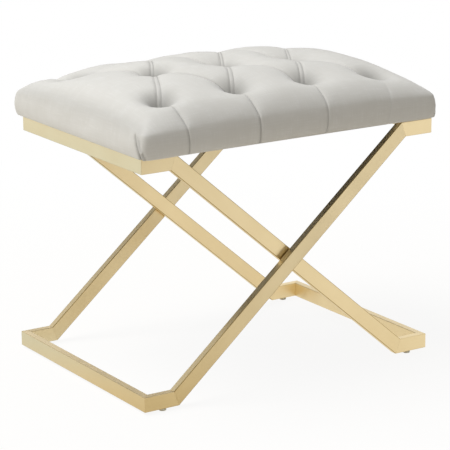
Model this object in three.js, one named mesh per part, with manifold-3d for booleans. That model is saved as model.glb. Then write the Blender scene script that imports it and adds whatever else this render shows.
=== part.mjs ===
// X-frame stool: two crossed loops of flat-sided tube under a padded seat with a diamond of tufts.
// Millimetres, +Z up. The origin is on the floor under the middle of the seat.
// X runs along the seat and Y across it. Near is -Y, left is -X.
// The outer loop stands on the left and carries the right end of the seat, and the inner loop
// stands on the right and carries the left end.

import * as THREE from 'three';
import { mergeVertices } from 'three/addons/utils/BufferGeometryUtils.js';
import Module from 'manifold-3d';

const wasm = await Module();
wasm.setup();

// Fits and cuts
const fitGap = 0.3; // left between two pieces that touch
const cutOverrun = 1; // how far a cutter runs past what it cuts

// Tube frame
const widthAtFloor = 582;
const widthAtSeat = 566;
const outerLoopDepth = 421;
const frameTop = 418.5;
const tubeHeight = 25.4;
const tubeThickness = 12.7;
const tubeWall = 1.5;
const tubeCornerRadius = 1.2;
const floorReturnLength = 65; // from the floor bar's outer face to the underside of the bend
const seatReturnLength = 64; // from the seat bar's outer face to the top of the bend
const crossingGap = 1.4; // between the two legs where they cross
const shimMargin = 4; // from the legs' edges to the shim between them

// Levelling glides under the floor returns
const glideHeight = 4; // from the floor to the underside of the tube
const glideDiameter = 12;
const glideBevel = 0.6;
const glideInset = 37; // from the floor bar's outer face to the glide's centre
const glideTravel = 8;
const studDiameter = 5;
const studSpare = 2; // stud left above the nut when the glide is screwed right out
const footFloor = 1.2; // plastic left under the stud
const nutHeight = 4;
const nutClearance = 0.6; // between the nut and each side wall of the tube

// Tabs in the corners of the seat bars, and the screws through them
const tabThickness = 3;
const tabPastScrew = 20; // along each tube, past the screw
const tabBesideScrew = 9; // from the screw's centre to the slanted edge
const hemToScrew = 9; // from the hem's inner edge to the screw's centre
const screwDiameter = 6;
const screwLength = 16;
const screwHeadDiameter = 10.5;
const screwHeadHeight = 3;
const screwFlangeDiameter = 13;
const screwFlangeThickness = 1;
const socketAcrossCorners = 4.6;
const socketDepth = 2;
const tnutFlangeDiameter = 19;
const tnutFlangeThickness = 1.4;
const tnutWall = 1.1;
const tnutLength = 9;

// Seat board and what is stapled under it
const boardThickness = 12;
const boardCornerRadius = 10;
const wrapThickness = 6; // cover and padding around the board's edge
const hemThickness = 1.5;
const hemWidth = 20; // cover turned under the board
const dustCoverThickness = 0.8;
const dustCoverInset = 8; // inside the board's edge

// Padded seat
const sideBulge = 7; // how far the sides swell past the hem
const sideHeightAtCorner = 28; // from the hem to where the edge starts to turn in
const sideRise = 18; // what the side gains between its corners
const edgeReach = 32; // how far in the rounded edge reaches
const edgeRise = 18; // how far it climbs
const crownHeight = 42;
const tuftEndMargin = 80; // from the end of the seat to the first tuft
const tuftSideMargin = 81.5; // from the long side to the first row
const tuftDepth = 20;
const tuftReach = 26;
const pleatDepthAtTuft = 12;
const pleatDepthMidway = 9;
const edgePleatDepth = 6;
const pleatReach = 14;
const coverUnderTuft = 3;
const leastCoreThickness = 8;
const buttonDiameter = 16;
const buttonHeight = 5;
const buttonRim = 1.5;

// Counts and powers, which have no unit
const tuftColumns = 4;
const tuftRows = 3;
const cellsBetweenTuftLines = 4;
const cellsBesideTufts = 2;
const cellsInEdge = 3;
const cellsInSide = 2;
const planCornerPower = 8; // 2 is a round corner, more is squarer
const crownPower = 2.2;
const cornerFallPower = 3;
const pleatFadePower = 2;
const edgePleatFadePower = 2;
const sideDrawInPower = 6; // more keeps the side upright for longer above the hem
const tuftFallPower = 1.5;
const cellsDrawnInShare = 0.06; // how far the cells crowd towards the tufts
const coreCells = [8, 6];
const roundSides = 16;
const buttonSides = 12;
const wellSides = 8;
const cornerSteps = 2; // an arc has two facets a step
const holeSteps = 8;

// Worked out from the sizes above
const innerLoopDepth = outerLoopDepth - 2 * (tubeThickness + crossingGap);
const screwInset = wrapThickness + hemWidth + hemToScrew - tubeThickness;
const tabReach = screwInset + tabPastScrew;
const tabLand = 2 * screwInset + Math.SQRT2 * tabBesideScrew - tabReach;
const hemLevel = frameTop + fitGap + dustCoverThickness + fitGap;
const boardLevel = hemLevel + hemThickness + fitGap;
const coreLevel = boardLevel + boardThickness + fitGap;
const hemHalfLength = widthAtSeat / 2;
const hemHalfDepth = outerLoopDepth / 2;
const boardHalfLength = hemHalfLength - wrapThickness;
const boardHalfDepth = hemHalfDepth - wrapThickness;
const seatHalfLength = hemHalfLength + sideBulge;
const seatHalfDepth = hemHalfDepth + sideBulge;
const tuftHalfLength = seatHalfLength - tuftEndMargin;
const tuftHalfDepth = seatHalfDepth - tuftSideMargin;
const tuftPitch = (2 * tuftHalfLength) / (tuftColumns - 1);
const tuftRowPitch = (2 * tuftHalfDepth) / (tuftRows - 1);

const brass = new THREE.MeshStandardMaterial({ color: 0xd8c48e, roughness: 0.32, metalness: 1 });
const steel = new THREE.MeshStandardMaterial({ color: 0xb4b6b8, roughness: 0.4, metalness: 1 });
const velvet = new THREE.MeshStandardMaterial({ color: 0xd5d2cc, roughness: 0.95, metalness: 0 });
const foam = new THREE.MeshStandardMaterial({ color: 0xe9dfb8, roughness: 1, metalness: 0 });
const plywood = new THREE.MeshStandardMaterial({ color: 0xc9a878, roughness: 0.8, metalness: 0 });
const lining = new THREE.MeshStandardMaterial({ color: 0x2b2b2c, roughness: 0.95, metalness: 0 });
const plastic = new THREE.MeshStandardMaterial({ color: 0x3c3b39, roughness: 0.6, metalness: 0 });

const stool = new THREE.Group();

function addPiece(name, geometry, material) {
  const mesh = new THREE.Mesh(geometry, material);
  mesh.name = name;
  stool.add(mesh);
  return mesh;
}

// Closed geometry to a solid that can be cut, and back

function toSolid(geometry) {
  const bare = new THREE.BufferGeometry();
  bare.setAttribute('position', geometry.getAttribute('position'));
  bare.setIndex(geometry.getIndex());
  const merged = mergeVertices(bare);
  const corners = merged.getIndex().array;
  const triangles = [];
  for (let i = 0; i < corners.length; i += 3) {
    const [a, b, c] = corners.subarray(i, i + 3);
    if (a !== b && b !== c && c !== a) triangles.push(a, b, c);
  }
  return new wasm.Manifold(
    new wasm.Mesh({
      numProp: 3,
      vertProperties: merged.getAttribute('position').array,
      triVerts: Uint32Array.from(triangles),
    })
  );
}

function toGeometry(solid) {
  const { vertProperties, triVerts } = solid.getMesh();
  const geometry = new THREE.BufferGeometry();
  geometry.setAttribute('position', new THREE.BufferAttribute(vertProperties, 3));
  geometry.setIndex(new THREE.BufferAttribute(triVerts, 1));
  geometry.computeVertexNormals();
  return geometry;
}

function cut(geometry, cutters) {
  let solid = toSolid(geometry);
  for (const cutter of cutters) solid = solid.subtract(toSolid(cutter));
  return toGeometry(solid);
}

// Shapes used by more than one piece

function roundedRectangle(halfWidth, halfHeight, radius) {
  const right = halfWidth - radius;
  const top = halfHeight - radius;
  const shape = new THREE.Shape();
  shape.absarc(right, -top, radius, -Math.PI / 2, 0);
  shape.absarc(right, top, radius, 0, Math.PI / 2);
  shape.absarc(-right, top, radius, Math.PI / 2, Math.PI);
  shape.absarc(-right, -top, radius, Math.PI, (3 * Math.PI) / 2);
  shape.closePath();
  return shape;
}

function extrude(shape, depth, curveSegments = holeSteps) {
  return new THREE.ExtrudeGeometry(shape, { depth, bevelEnabled: false, curveSegments });
}

// A body turned about Z from a profile of [radius, height] points
function turned(profile, sides = roundSides) {
  const points = profile.map(([radius, height]) => new THREE.Vector2(radius, height));
  return new THREE.LatheGeometry(points, sides).rotateX(Math.PI / 2);
}

// An upright cylinder from one level to another
function uprightCylinder(radius, bottom, top, sides = roundSides) {
  return turned([[0, bottom], [radius, bottom], [radius, top], [0, top]], sides);
}

// Tube frame

// The bend's half angle follows from where the returns end: the leg's lower edge climbs from the
// bend's outer corner below to its inner corner above, and each mitre halves the bend.
const legRun = widthAtFloor / 2 + widthAtSeat / 2 - seatReturnLength - floorReturnLength;
const legRise = frameTop - tubeHeight - glideHeight;
const legSquare = legRun ** 2 + legRise * (legRise + 2 * tubeHeight);
const halfBendSlope = (Math.sqrt(legSquare) - legRun) / (legRise + 2 * tubeHeight);
const bendAngle = 2 * Math.atan(halfBendSlope);
const mitreShift = tubeHeight * halfBendSlope;

// Centre line of a loop that stands on the left, from the near end of its floor bar round to its
// far end. Side is 1 for that loop, and -1 for one that stands on the right.
function loopCorners(depth, side) {
  const floorLevel = glideHeight + tubeHeight / 2;
  const seatLevel = frameTop - tubeHeight / 2;
  const half = depth / 2 - tubeThickness / 2;
  const profile = [
    [-(widthAtFloor - tubeThickness) / 2, floorLevel],
    [-widthAtFloor / 2 + floorReturnLength - mitreShift / 2, floorLevel],
    [widthAtSeat / 2 - seatReturnLength + mitreShift / 2, seatLevel],
    [(widthAtSeat - tubeThickness) / 2, seatLevel],
  ];
  const near = profile.map(([x, z]) => new THREE.Vector3(side * x, -half, z));
  const far = profile.map(([x, z]) => new THREE.Vector3(side * x, half, z));
  return [...near, ...far.reverse()];
}

// A straight tube between two corners of the loop. Its ends are slid along it onto the mitre planes.
function mitredTube(start, end, startNormal, endNormal) {
  const along = end.clone().sub(start).normalize();
  const acrossLoop = Math.abs(along.y) > Math.abs(along.x);
  const thin = acrossLoop ? new THREE.Vector3(1, 0, 0) : new THREE.Vector3(0, 1, 0);
  const tall = along.clone().cross(thin);
  const section = roundedRectangle(tubeThickness / 2, tubeHeight / 2, tubeCornerRadius);
  const bore = new THREE.Shape();
  const boreHalfWidth = tubeThickness / 2 - tubeWall;
  const boreHalfHeight = tubeHeight / 2 - tubeWall;
  bore.moveTo(-boreHalfWidth, -boreHalfHeight);
  bore.lineTo(boreHalfWidth, -boreHalfHeight);
  bore.lineTo(boreHalfWidth, boreHalfHeight);
  bore.lineTo(-boreHalfWidth, boreHalfHeight);
  bore.closePath();
  section.holes.push(bore);
  const length = end.distanceTo(start);
  const geometry = extrude(section, length, cornerSteps);
  const point = new THREE.Vector3();
  const places = geometry.getAttribute('position');
  for (let i = 0; i < places.count; i += 1) {
    const atEnd = places.getZ(i) > length / 2;
    const normal = atEnd ? endNormal : startNormal;
    const facing = normal.dot(along);
    point.copy(atEnd ? end : start);
    point.addScaledVector(thin, places.getX(i)).addScaledVector(tall, places.getY(i));
    const off = point.clone().sub(atEnd ? end : start).dot(normal);
    const pullBack = (atEnd ? -1 : 1) * Math.abs(fitGap / 2 / facing);
    point.addScaledVector(along, pullBack - off / facing);
    places.setXYZ(i, point.x, point.y, point.z);
  }
  return geometry;
}

const tubeNames = [
  'near_floor_return',
  'near_leg',
  'near_seat_return',
  'seat_bar',
  'far_seat_return',
  'far_leg',
  'far_floor_return',
  'floor_bar',
];

function addLoop(loopName, depth, side) {
  const corners = loopCorners(depth, side);
  const count = corners.length;
  const along = corners.map((corner, i) => corners[(i + 1) % count].clone().sub(corner).normalize());
  const mitres = along.map((next, i) => next.clone().add(along[(i + count - 1) % count]).normalize());
  tubeNames.forEach((tubeName, i) => {
    const next = (i + 1) % count;
    let tube = mitredTube(corners[i], corners[next], mitres[i], mitres[next]);
    if (tubeName.includes('floor_return')) tube = cut(tube, [glideHole(depth, side, tubeName)]);
    addPiece(`${loopName}_${tubeName}`, tube, brass);
  });
}

function glidePlace(depth, side, far) {
  const x = side * (-widthAtFloor / 2 + glideInset);
  const y = (far ? 1 : -1) * (depth / 2 - tubeThickness / 2);
  return [x, y];
}

function glideHole(depth, side, tubeName) {
  const [x, y] = glidePlace(depth, side, tubeName.startsWith('far'));
  const bottom = glideHeight - cutOverrun;
  const top = glideHeight + tubeWall + cutOverrun;
  return uprightCylinder(studDiameter / 2 + fitGap, bottom, top).translate(x, y, 0);
}

// A thin steel shim is welded between the two legs on each side, out of sight
function addCrossingShim(sideName, y) {
  const floorLevel = glideHeight + tubeHeight / 2;
  const bendX = -widthAtFloor / 2 + floorReturnLength - mitreShift / 2;
  const crossingLevel = floorLevel - bendX * Math.tan(bendAngle);
  const halfBand = tubeHeight / 2 - shimMargin;
  const halfWidth = halfBand / Math.sin(bendAngle);
  const halfHeight = halfBand / Math.cos(bendAngle);
  const diamond = new THREE.Shape();
  diamond.moveTo(halfWidth, 0);
  diamond.lineTo(0, halfHeight);
  diamond.lineTo(-halfWidth, 0);
  diamond.lineTo(0, -halfHeight);
  diamond.closePath();
  const thickness = crossingGap - 2 * fitGap;
  const shim = addPiece(`crossing_shim_${sideName}`, extrude(diamond, thickness), steel);
  shim.rotation.x = Math.PI / 2;
  shim.position.set(0, y + thickness / 2, crossingLevel);
}

// Levelling glides: a moulded foot on a threaded stud, in a nut welded inside the floor return

function addGlide(place, x, y) {
  const radius = glideDiameter / 2;
  const footTop = glideHeight - fitGap;
  const socket = studDiameter / 2 + fitGap;
  const foot = turned([
    [0, 0],
    [radius - glideBevel, 0],
    [radius, glideBevel],
    [radius, footTop - glideBevel],
    [radius - glideBevel, footTop],
    [socket, footTop],
    [socket, footFloor],
    [0, footFloor],
  ]);
  addPiece(`glide_foot_${place}`, foot, plastic).position.set(x, y, 0);

  const nutLevel = glideHeight + tubeWall + fitGap;
  const studTop = nutLevel + nutHeight + glideTravel + studSpare;
  const studBottom = footFloor + fitGap;
  const stud = uprightCylinder(studDiameter / 2, studBottom, studTop);
  addPiece(`glide_stud_${place}`, stud, steel).position.set(x, y, 0);

  const halfNut = tubeThickness / 2 - tubeWall - nutClearance;
  const blank = new THREE.BoxGeometry(2 * halfNut, 2 * halfNut, nutHeight);
  const bore = uprightCylinder(socket, -nutHeight / 2 - cutOverrun, nutHeight / 2 + cutOverrun);
  const nut = addPiece(`glide_nut_${place}`, cut(blank, [bore]), steel);
  nut.position.set(x, y, nutLevel + nutHeight / 2);
}

// Seat tabs, screws and T-nuts at the four corners

const screwPlaces = [
  { name: 'left_near', right: -1, far: -1, depth: innerLoopDepth },
  { name: 'left_far', right: -1, far: 1, depth: innerLoopDepth },
  { name: 'right_near', right: 1, far: -1, depth: outerLoopDepth },
  { name: 'right_far', right: 1, far: 1, depth: outerLoopDepth },
].map((place) => ({
  ...place,
  cornerX: place.right * (widthAtSeat / 2 - tubeThickness - fitGap),
  cornerY: place.far * (place.depth / 2 - tubeThickness - fitGap),
  x: place.right * (widthAtSeat / 2 - tubeThickness - screwInset),
  y: place.far * (place.depth / 2 - tubeThickness - screwInset),
}));

function addTab({ name, right, far, cornerX, cornerY, x, y }) {
  const outline = [
    [0, 0],
    [tabReach, 0],
    [tabReach, tabLand],
    [tabLand, tabReach],
    [0, tabReach],
  ];
  const shape = new THREE.Shape(
    outline.map(([a, b]) => new THREE.Vector2(cornerX - right * a, cornerY - far * b))
  );
  const hole = new THREE.Path().absarc(x, y, screwDiameter / 2 + fitGap, 0, 2 * Math.PI);
  shape.holes.push(hole);
  const tab = addPiece(`seat_tab_${name}`, extrude(shape, tabThickness), brass);
  tab.position.z = frameTop - tabThickness;
}

const screwSeat = frameTop - tabThickness - fitGap; // underside of the tab, where the flange bears
const tnutTop = boardLevel + boardThickness - fitGap;

function addScrew({ name, x, y }) {
  const flangeBottom = -screwFlangeThickness;
  const headBottom = flangeBottom - screwHeadHeight;
  const headRadius = screwHeadDiameter / 2;
  const screw = turned([
    [0, headBottom],
    [headRadius - screwHeadHeight / 2, headBottom],
    [headRadius, headBottom + screwHeadHeight / 2],
    [headRadius, flangeBottom],
    [screwFlangeDiameter / 2, flangeBottom],
    [screwFlangeDiameter / 2, 0],
    [screwDiameter / 2, 0],
    [screwDiameter / 2, screwLength],
    [0, screwLength],
  ]);
  const hexSides = 6;
  const socketBottom = headBottom - cutOverrun;
  const key = uprightCylinder(socketAcrossCorners / 2, socketBottom, headBottom + socketDepth, hexSides);
  addPiece(`seat_screw_${name}`, cut(screw, [key]), steel).position.set(x, y, screwSeat);
}

function addTnut({ name, x, y }) {
  const bore = screwDiameter / 2 + fitGap;
  const barrel = bore + tnutWall;
  const flange = tnutFlangeDiameter / 2;
  const tnut = turned([
    [bore, 0],
    [bore, -tnutLength],
    [barrel, -tnutLength],
    [barrel, -tnutFlangeThickness],
    [flange, -tnutFlangeThickness],
    [flange, 0],
    [bore, 0],
  ]);
  addPiece(`t_nut_${name}`, tnut, steel).position.set(x, y, tnutTop);
}

// Seat board with a stepped hole for each T-nut, and the dust cover under it

function boardHole({ x, y }) {
  const barrelHole = screwDiameter / 2 + fitGap + tnutWall + fitGap;
  const flangeHole = tnutFlangeDiameter / 2 + fitGap;
  const step = tnutTop - tnutFlangeThickness - fitGap;
  const top = boardLevel + boardThickness + cutOverrun;
  return turned([
    [0, boardLevel - cutOverrun],
    [barrelHole, boardLevel - cutOverrun],
    [barrelHole, step],
    [flangeHole, step],
    [flangeHole, top],
    [0, top],
  ]).translate(x, y, 0);
}

function addBoard() {
  const outline = roundedRectangle(boardHalfLength, boardHalfDepth, boardCornerRadius);
  const blank = extrude(outline, boardThickness, cornerSteps).translate(0, 0, boardLevel);
  addPiece('seat_board', cut(blank, screwPlaces.map(boardHole)), plywood);
}

function addDustCover() {
  const halfLength = boardHalfLength - dustCoverInset;
  const halfDepth = boardHalfDepth - dustCoverInset;
  const outline = roundedRectangle(halfLength, halfDepth, boardCornerRadius);
  for (const { x, y } of screwPlaces) {
    outline.holes.push(new THREE.Path().absarc(x, y, screwDiameter / 2 + fitGap, 0, 2 * Math.PI));
  }
  const cover = addPiece('dust_cover', extrude(outline, dustCoverThickness), lining);
  cover.position.z = frameTop + fitGap;
}

// Form of the seat

// The upright side, up to where the edge starts to turn in
function sideHeight(x, y) {
  const alongShare = Math.min(Math.abs(x) / seatHalfLength, 1);
  const acrossShare = Math.min(Math.abs(y) / seatHalfDepth, 1);
  const cornerShare = (alongShare * acrossShare) ** cornerFallPower;
  return sideHeightAtCorner + sideRise * (1 - cornerShare);
}

// The dome that the middle gains over the rounded edge
function domeHeight(x, y) {
  const alongShare = Math.min(Math.abs(x) / seatHalfLength, 1);
  const acrossShare = Math.min(Math.abs(y) / seatHalfDepth, 1);
  return crownHeight * (1 - alongShare ** crownPower) * (1 - acrossShare ** crownPower);
}

// Height above the hem, inside the rounded edge, before the seat is tufted
function untuftedHeight(x, y) {
  return sideHeight(x, y) + edgeRise + domeHeight(x, y);
}

// Rows of tufts, every other row one fewer and half a pitch along
const tufts = [];
for (let row = 0; row < tuftRows; row += 1) {
  const fewer = row % 2;
  for (let column = 0; column < tuftColumns - fewer; column += 1) {
    const x = -tuftHalfLength + (column + fewer / 2) * tuftPitch;
    const y = -tuftHalfDepth + row * tuftRowPitch;
    tufts.push({ row, column, x, y });
  }
}

// Pleats run from each tuft to its neighbours in the next row, and from the end rows over the edge
const pleats = [];
for (const a of tufts) {
  for (const b of tufts) {
    const neighbours = b.row === a.row + 1 && Math.abs(b.x - a.x) < tuftPitch;
    if (neighbours) pleats.push({ a, b, midway: pleatDepthMidway, toEdge: false });
  }
  if (a.row === 0 || a.row === tuftRows - 1) {
    const b = { x: a.x, y: Math.sign(a.y) * seatHalfDepth };
    pleats.push({ a, b, midway: edgePleatDepth, toEdge: true });
  }
}

function pleatDepth({ a, b, midway, toEdge }, x, y) {
  const lengthSquare = (b.x - a.x) ** 2 + (b.y - a.y) ** 2;
  const along = ((x - a.x) * (b.x - a.x) + (y - a.y) * (b.y - a.y)) / lengthSquare;
  const t = THREE.MathUtils.clamp(along, 0, 1);
  const away = Math.hypot(x - a.x - t * (b.x - a.x), y - a.y - t * (b.y - a.y));
  const nearTuft = toEdge ? (1 - t) ** edgePleatFadePower : Math.abs(2 * t - 1) ** pleatFadePower;
  const depth = midway + (pleatDepthAtTuft - midway) * nearTuft;
  return depth * Math.exp(-away / pleatReach);
}

function tuftedDepth(x, y) {
  const deepestPleat = Math.max(...pleats.map((pleat) => pleatDepth(pleat, x, y)));
  const pull = tufts.map((tuft) => {
    const away = Math.hypot(x - tuft.x, y - tuft.y);
    return tuftDepth * Math.exp(-((away / tuftReach) ** tuftFallPower));
  });
  return deepestPleat + Math.max(...pull);
}

// Places of the grid lines along one direction: from tuft line to tuft line, crowded towards
// them, then out to the edge. Out counts the cells past the flat middle, and has its sign.
function gridLines(tuftHalf, tuftLineGaps, seatHalf) {
  const between = tuftLineGaps * cellsBetweenTuftLines;
  const outside = cellsBesideTufts + cellsInEdge + cellsInSide;
  const flatHalf = seatHalf - edgeReach;
  const lines = [];
  for (let i = -outside; i <= between + outside; i += 1) {
    const past = Math.max(-i, i - between, 0);
    const side = Math.sign(2 * i - between);
    const gaps = i / cellsBetweenTuftLines;
    const drawnIn = gaps - cellsDrawnInShare * Math.sin(2 * Math.PI * gaps);
    const besideShare = Math.min(past / cellsBesideTufts, 1);
    const beside = side * (tuftHalf + (flatHalf - tuftHalf) * besideShare);
    const place = past > 0 ? beside : tuftHalf * ((2 * drawnIn) / tuftLineGaps - 1);
    lines.push({ place, out: side * Math.max(past - cellsBesideTufts, 0) });
  }
  return lines;
}

// A point of the seat's skin, where cells out from the flat middle go round the edge and down
function skinPoint(column, row) {
  const outX = Math.abs(column.out);
  const outY = Math.abs(row.out);
  const out = Math.max(outX, outY);
  if (out === 0) {
    const height = untuftedHeight(column.place, row.place) - tuftedDepth(column.place, row.place);
    return new THREE.Vector3(column.place, row.place, hemLevel + height);
  }
  const eighths = outX >= outY ? outY / outX : 2 - outX / outY;
  const heading = (eighths * Math.PI) / 4;
  const cos = Math.cos(heading);
  const sin = Math.sin(heading);
  const reach = (cos ** planCornerPower + sin ** planCornerPower) ** (-1 / planCornerPower);
  const outwardX = Math.sign(column.out) * cos * reach;
  const outwardY = Math.sign(row.out) * sin * reach;
  const turn = (Math.min(out / cellsInEdge, 1) * Math.PI) / 2;
  const left = Math.min(1 - (out - cellsInEdge) / cellsInSide, 1);
  const down = 1 - left ** 2;
  const spread = edgeReach * Math.sin(turn) - sideBulge * down ** sideDrawInPower;
  const x = column.place + outwardX * spread;
  const y = row.place + outwardY * spread;
  const side = sideHeight(x, y);
  const facingUp = down > 0 ? 0 : Math.cos(turn);
  const top = edgeRise * facingUp + domeHeight(x, y) * Math.sqrt(facingUp);
  const height = side * (1 - down) + top - tuftedDepth(x, y) * facingUp;
  return new THREE.Vector3(x, y, hemLevel + height);
}

// Closes a grid of skin points with a flat underside. A cell is split along its valley, and in
// the seat's corners along the line out to the corner.
function closedSkin(columns, rows, pointAt) {
  const positions = [];
  columns.forEach((column) => rows.forEach((row) => positions.push(...pointAt(column, row))));
  const vertex = (i, j) => i * rows.length + j;
  const level = (k) => positions[3 * k + 2];
  const triangles = [];
  for (let i = 0; i + 1 < columns.length; i += 1) {
    for (let j = 0; j + 1 < rows.length; j += 1) {
      const a = vertex(i, j);
      const b = vertex(i + 1, j);
      const c = vertex(i + 1, j + 1);
      const d = vertex(i, j + 1);
      const outX = columns[i].out + columns[i + 1].out;
      const outY = rows[j].out + rows[j + 1].out;
      const valley = level(b) + level(d) - level(a) - level(c);
      if ((outX * outY || valley) > 0) triangles.push(a, b, c, a, c, d);
      else triangles.push(a, b, d, b, c, d);
    }
  }
  const rim = [];
  for (let i = 0; i < columns.length; i += 1) rim.push(vertex(i, 0));
  for (let j = 1; j < rows.length; j += 1) rim.push(vertex(columns.length - 1, j));
  for (let i = columns.length - 2; i >= 0; i -= 1) rim.push(vertex(i, rows.length - 1));
  for (let j = rows.length - 2; j > 0; j -= 1) rim.push(vertex(0, j));
  const flat = rim.map((k) => new THREE.Vector2(positions[3 * k], positions[3 * k + 1]));
  for (const [a, b, c] of THREE.ShapeUtils.triangulateShape(flat, [])) {
    triangles.push(rim[a], rim[c], rim[b]);
  }
  const geometry = new THREE.BufferGeometry();
  geometry.setAttribute('position', new THREE.Float32BufferAttribute(positions, 3));
  geometry.setIndex(triangles);
  geometry.computeVertexNormals();
  return geometry;
}

// The foam core's top follows the crown at the depth of the tufts. Grow widens it, for its hollow.
function coreForm(bottom, grow) {
  const [cellsAlong, cellsAcross] = coreCells;
  const length = 2 * (boardHalfLength + grow);
  const depth = 2 * (boardHalfDepth + grow);
  const form = new THREE.BoxGeometry(length, depth, boardThickness, cellsAlong, cellsAcross);
  const pulledDown = tuftDepth + pleatDepthAtTuft + coverUnderTuft;
  const places = form.getAttribute('position');
  for (let i = 0; i < places.count; i += 1) {
    const x = places.getX(i);
    const y = places.getY(i);
    const belowTufts = hemLevel + untuftedHeight(x, y) - pulledDown;
    const top = Math.max(belowTufts, coreLevel + leastCoreThickness) + grow;
    places.setZ(i, places.getZ(i) > 0 ? top : bottom);
  }
  return form;
}

function tuftLevel({ x, y }) {
  return hemLevel + untuftedHeight(x, y) - tuftedDepth(x, y);
}

// Velvet cover with its padding: hollow for the core and the board, open inside the hem, with a
// round seat pressed in for each button
function addCover() {
  const columns = gridLines(tuftHalfLength, 2 * (tuftColumns - 1), seatHalfLength);
  const rows = gridLines(tuftHalfDepth, tuftRows - 1, seatHalfDepth);
  const skin = closedSkin(columns, rows, skinPoint);
  const hollow = coreForm(boardLevel - fitGap, fitGap);
  const openingLength = boardHalfLength - hemWidth;
  const openingDepth = boardHalfDepth - hemWidth;
  const opening = extrude(
    roundedRectangle(openingLength, openingDepth, boardCornerRadius),
    boardLevel - hemLevel + cutOverrun,
    cornerSteps
  ).translate(0, 0, hemLevel - cutOverrun);
  const seatTop = hemLevel + sideHeightAtCorner + sideRise + edgeRise + crownHeight;
  const wellRadius = (buttonDiameter / 2 + fitGap) / Math.cos(Math.PI / wellSides);
  const wells = tufts.map((tuft) => {
    const well = uprightCylinder(wellRadius, tuftLevel(tuft), seatTop, wellSides);
    return well.translate(tuft.x, tuft.y, 0);
  });
  addPiece('tufted_cover', cut(skin, [hollow, opening, ...wells]), velvet);
}

function addButton(tuft) {
  const radius = buttonDiameter / 2;
  const dome = buttonHeight - buttonRim;
  const button = turned(
    [
      [0, 0],
      [radius, 0],
      [radius, buttonRim],
      [radius * Math.cos(Math.PI / 6), buttonRim + dome * Math.sin(Math.PI / 6)],
      [radius * Math.cos(Math.PI / 3), buttonRim + dome * Math.sin(Math.PI / 3)],
      [0, buttonHeight],
    ],
    buttonSides
  );
  const rowNames = ['near', 'middle', 'far'];
  const name = `tuft_button_${rowNames[tuft.row]}_${tuft.column + 1}`;
  addPiece(name, button, velvet).position.set(tuft.x, tuft.y, tuftLevel(tuft) + fitGap);
}

// The stool

addLoop('outer', outerLoopDepth, 1);
addLoop('inner', innerLoopDepth, -1);
addCrossingShim('near', -(innerLoopDepth + crossingGap) / 2);
addCrossingShim('far', (innerLoopDepth + crossingGap) / 2);
addGlide('left_near', ...glidePlace(outerLoopDepth, 1, false));
addGlide('left_far', ...glidePlace(outerLoopDepth, 1, true));
addGlide('right_near', ...glidePlace(innerLoopDepth, -1, false));
addGlide('right_far', ...glidePlace(innerLoopDepth, -1, true));
for (const place of screwPlaces) {
  addTab(place);
  addScrew(place);
  addTnut(place);
}
addBoard();
addDustCover();
addPiece('foam_core', coreForm(coreLevel, 0), foam);
addCover();
tufts.forEach(addButton);

export default stool;
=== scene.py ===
"""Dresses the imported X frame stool: brushed gold loops under a diamond tufted velvet seat.

Lengths are in metres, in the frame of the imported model: +X along the seat, +Y to the back and
+Z up, with the origin on the floor under the middle of the seat. Near is -Y and left is -X.
"""

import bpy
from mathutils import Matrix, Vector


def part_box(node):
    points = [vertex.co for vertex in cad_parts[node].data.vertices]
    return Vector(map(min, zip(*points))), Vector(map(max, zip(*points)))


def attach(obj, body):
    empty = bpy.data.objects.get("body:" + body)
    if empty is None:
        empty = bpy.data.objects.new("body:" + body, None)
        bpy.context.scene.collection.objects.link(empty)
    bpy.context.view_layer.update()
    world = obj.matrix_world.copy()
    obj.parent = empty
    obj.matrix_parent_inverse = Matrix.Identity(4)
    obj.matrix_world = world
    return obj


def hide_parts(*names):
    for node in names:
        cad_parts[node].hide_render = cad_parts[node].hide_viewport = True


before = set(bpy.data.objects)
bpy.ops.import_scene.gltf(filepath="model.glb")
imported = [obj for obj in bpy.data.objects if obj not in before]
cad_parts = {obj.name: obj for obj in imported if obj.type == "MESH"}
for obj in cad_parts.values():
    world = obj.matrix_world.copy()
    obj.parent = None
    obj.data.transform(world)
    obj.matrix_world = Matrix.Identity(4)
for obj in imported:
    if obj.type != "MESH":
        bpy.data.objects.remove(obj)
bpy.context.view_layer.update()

from types import SimpleNamespace

import bpy
import numpy as np
from bpy.props import FloatProperty, FloatVectorProperty, IntProperty, PointerProperty
from mathutils import Matrix
from mathutils.geometry import delaunay_2d_cdt

bl_info = {
    "name": "X frame stool",
    "version": (1, 0, 0),
    "blender": (4, 5, 0),
    "location": "3D View > Sidebar > Stool",
    "description": "Builds the looks of a tufted stool on two crossed loops of brushed gold tube",
    "category": "Object",
}

BODY = "stool"
MM = 0.001
TINY = 1e-9  # keeps a divisor from 0
BOTH_SIDES = (1, -1)

# Loops of tube, each with the side on which it stands, and the lengths round a loop
LOOPS = {"outer": "left", "inner": "right"}
TUBES = (
    "near_floor_return", "near_leg", "near_seat_return", "seat_bar",
    "far_seat_return", "far_leg", "far_floor_return", "floor_bar",
)
FLOOR_RETURN = 65 * MM  # from the floor bar's outer face to the underside of the bend
SEAT_RETURN = 64 * MM  # from the seat bar's outer face to its bend, on the upper side
ROUNDING_STEPS = 6  # flats in each rounded corner of a tube
GUARD = 0.25 * MM  # keeps the flats flat beside each rounding
LEG_CORNER_SHADE, BAR_CORNER_SHADE = 1.0, 0.3  # share of painted dark reflection along the rounded corners
STUD_HOLE = 2.8 * MM  # radius of the hole in a floor return

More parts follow.
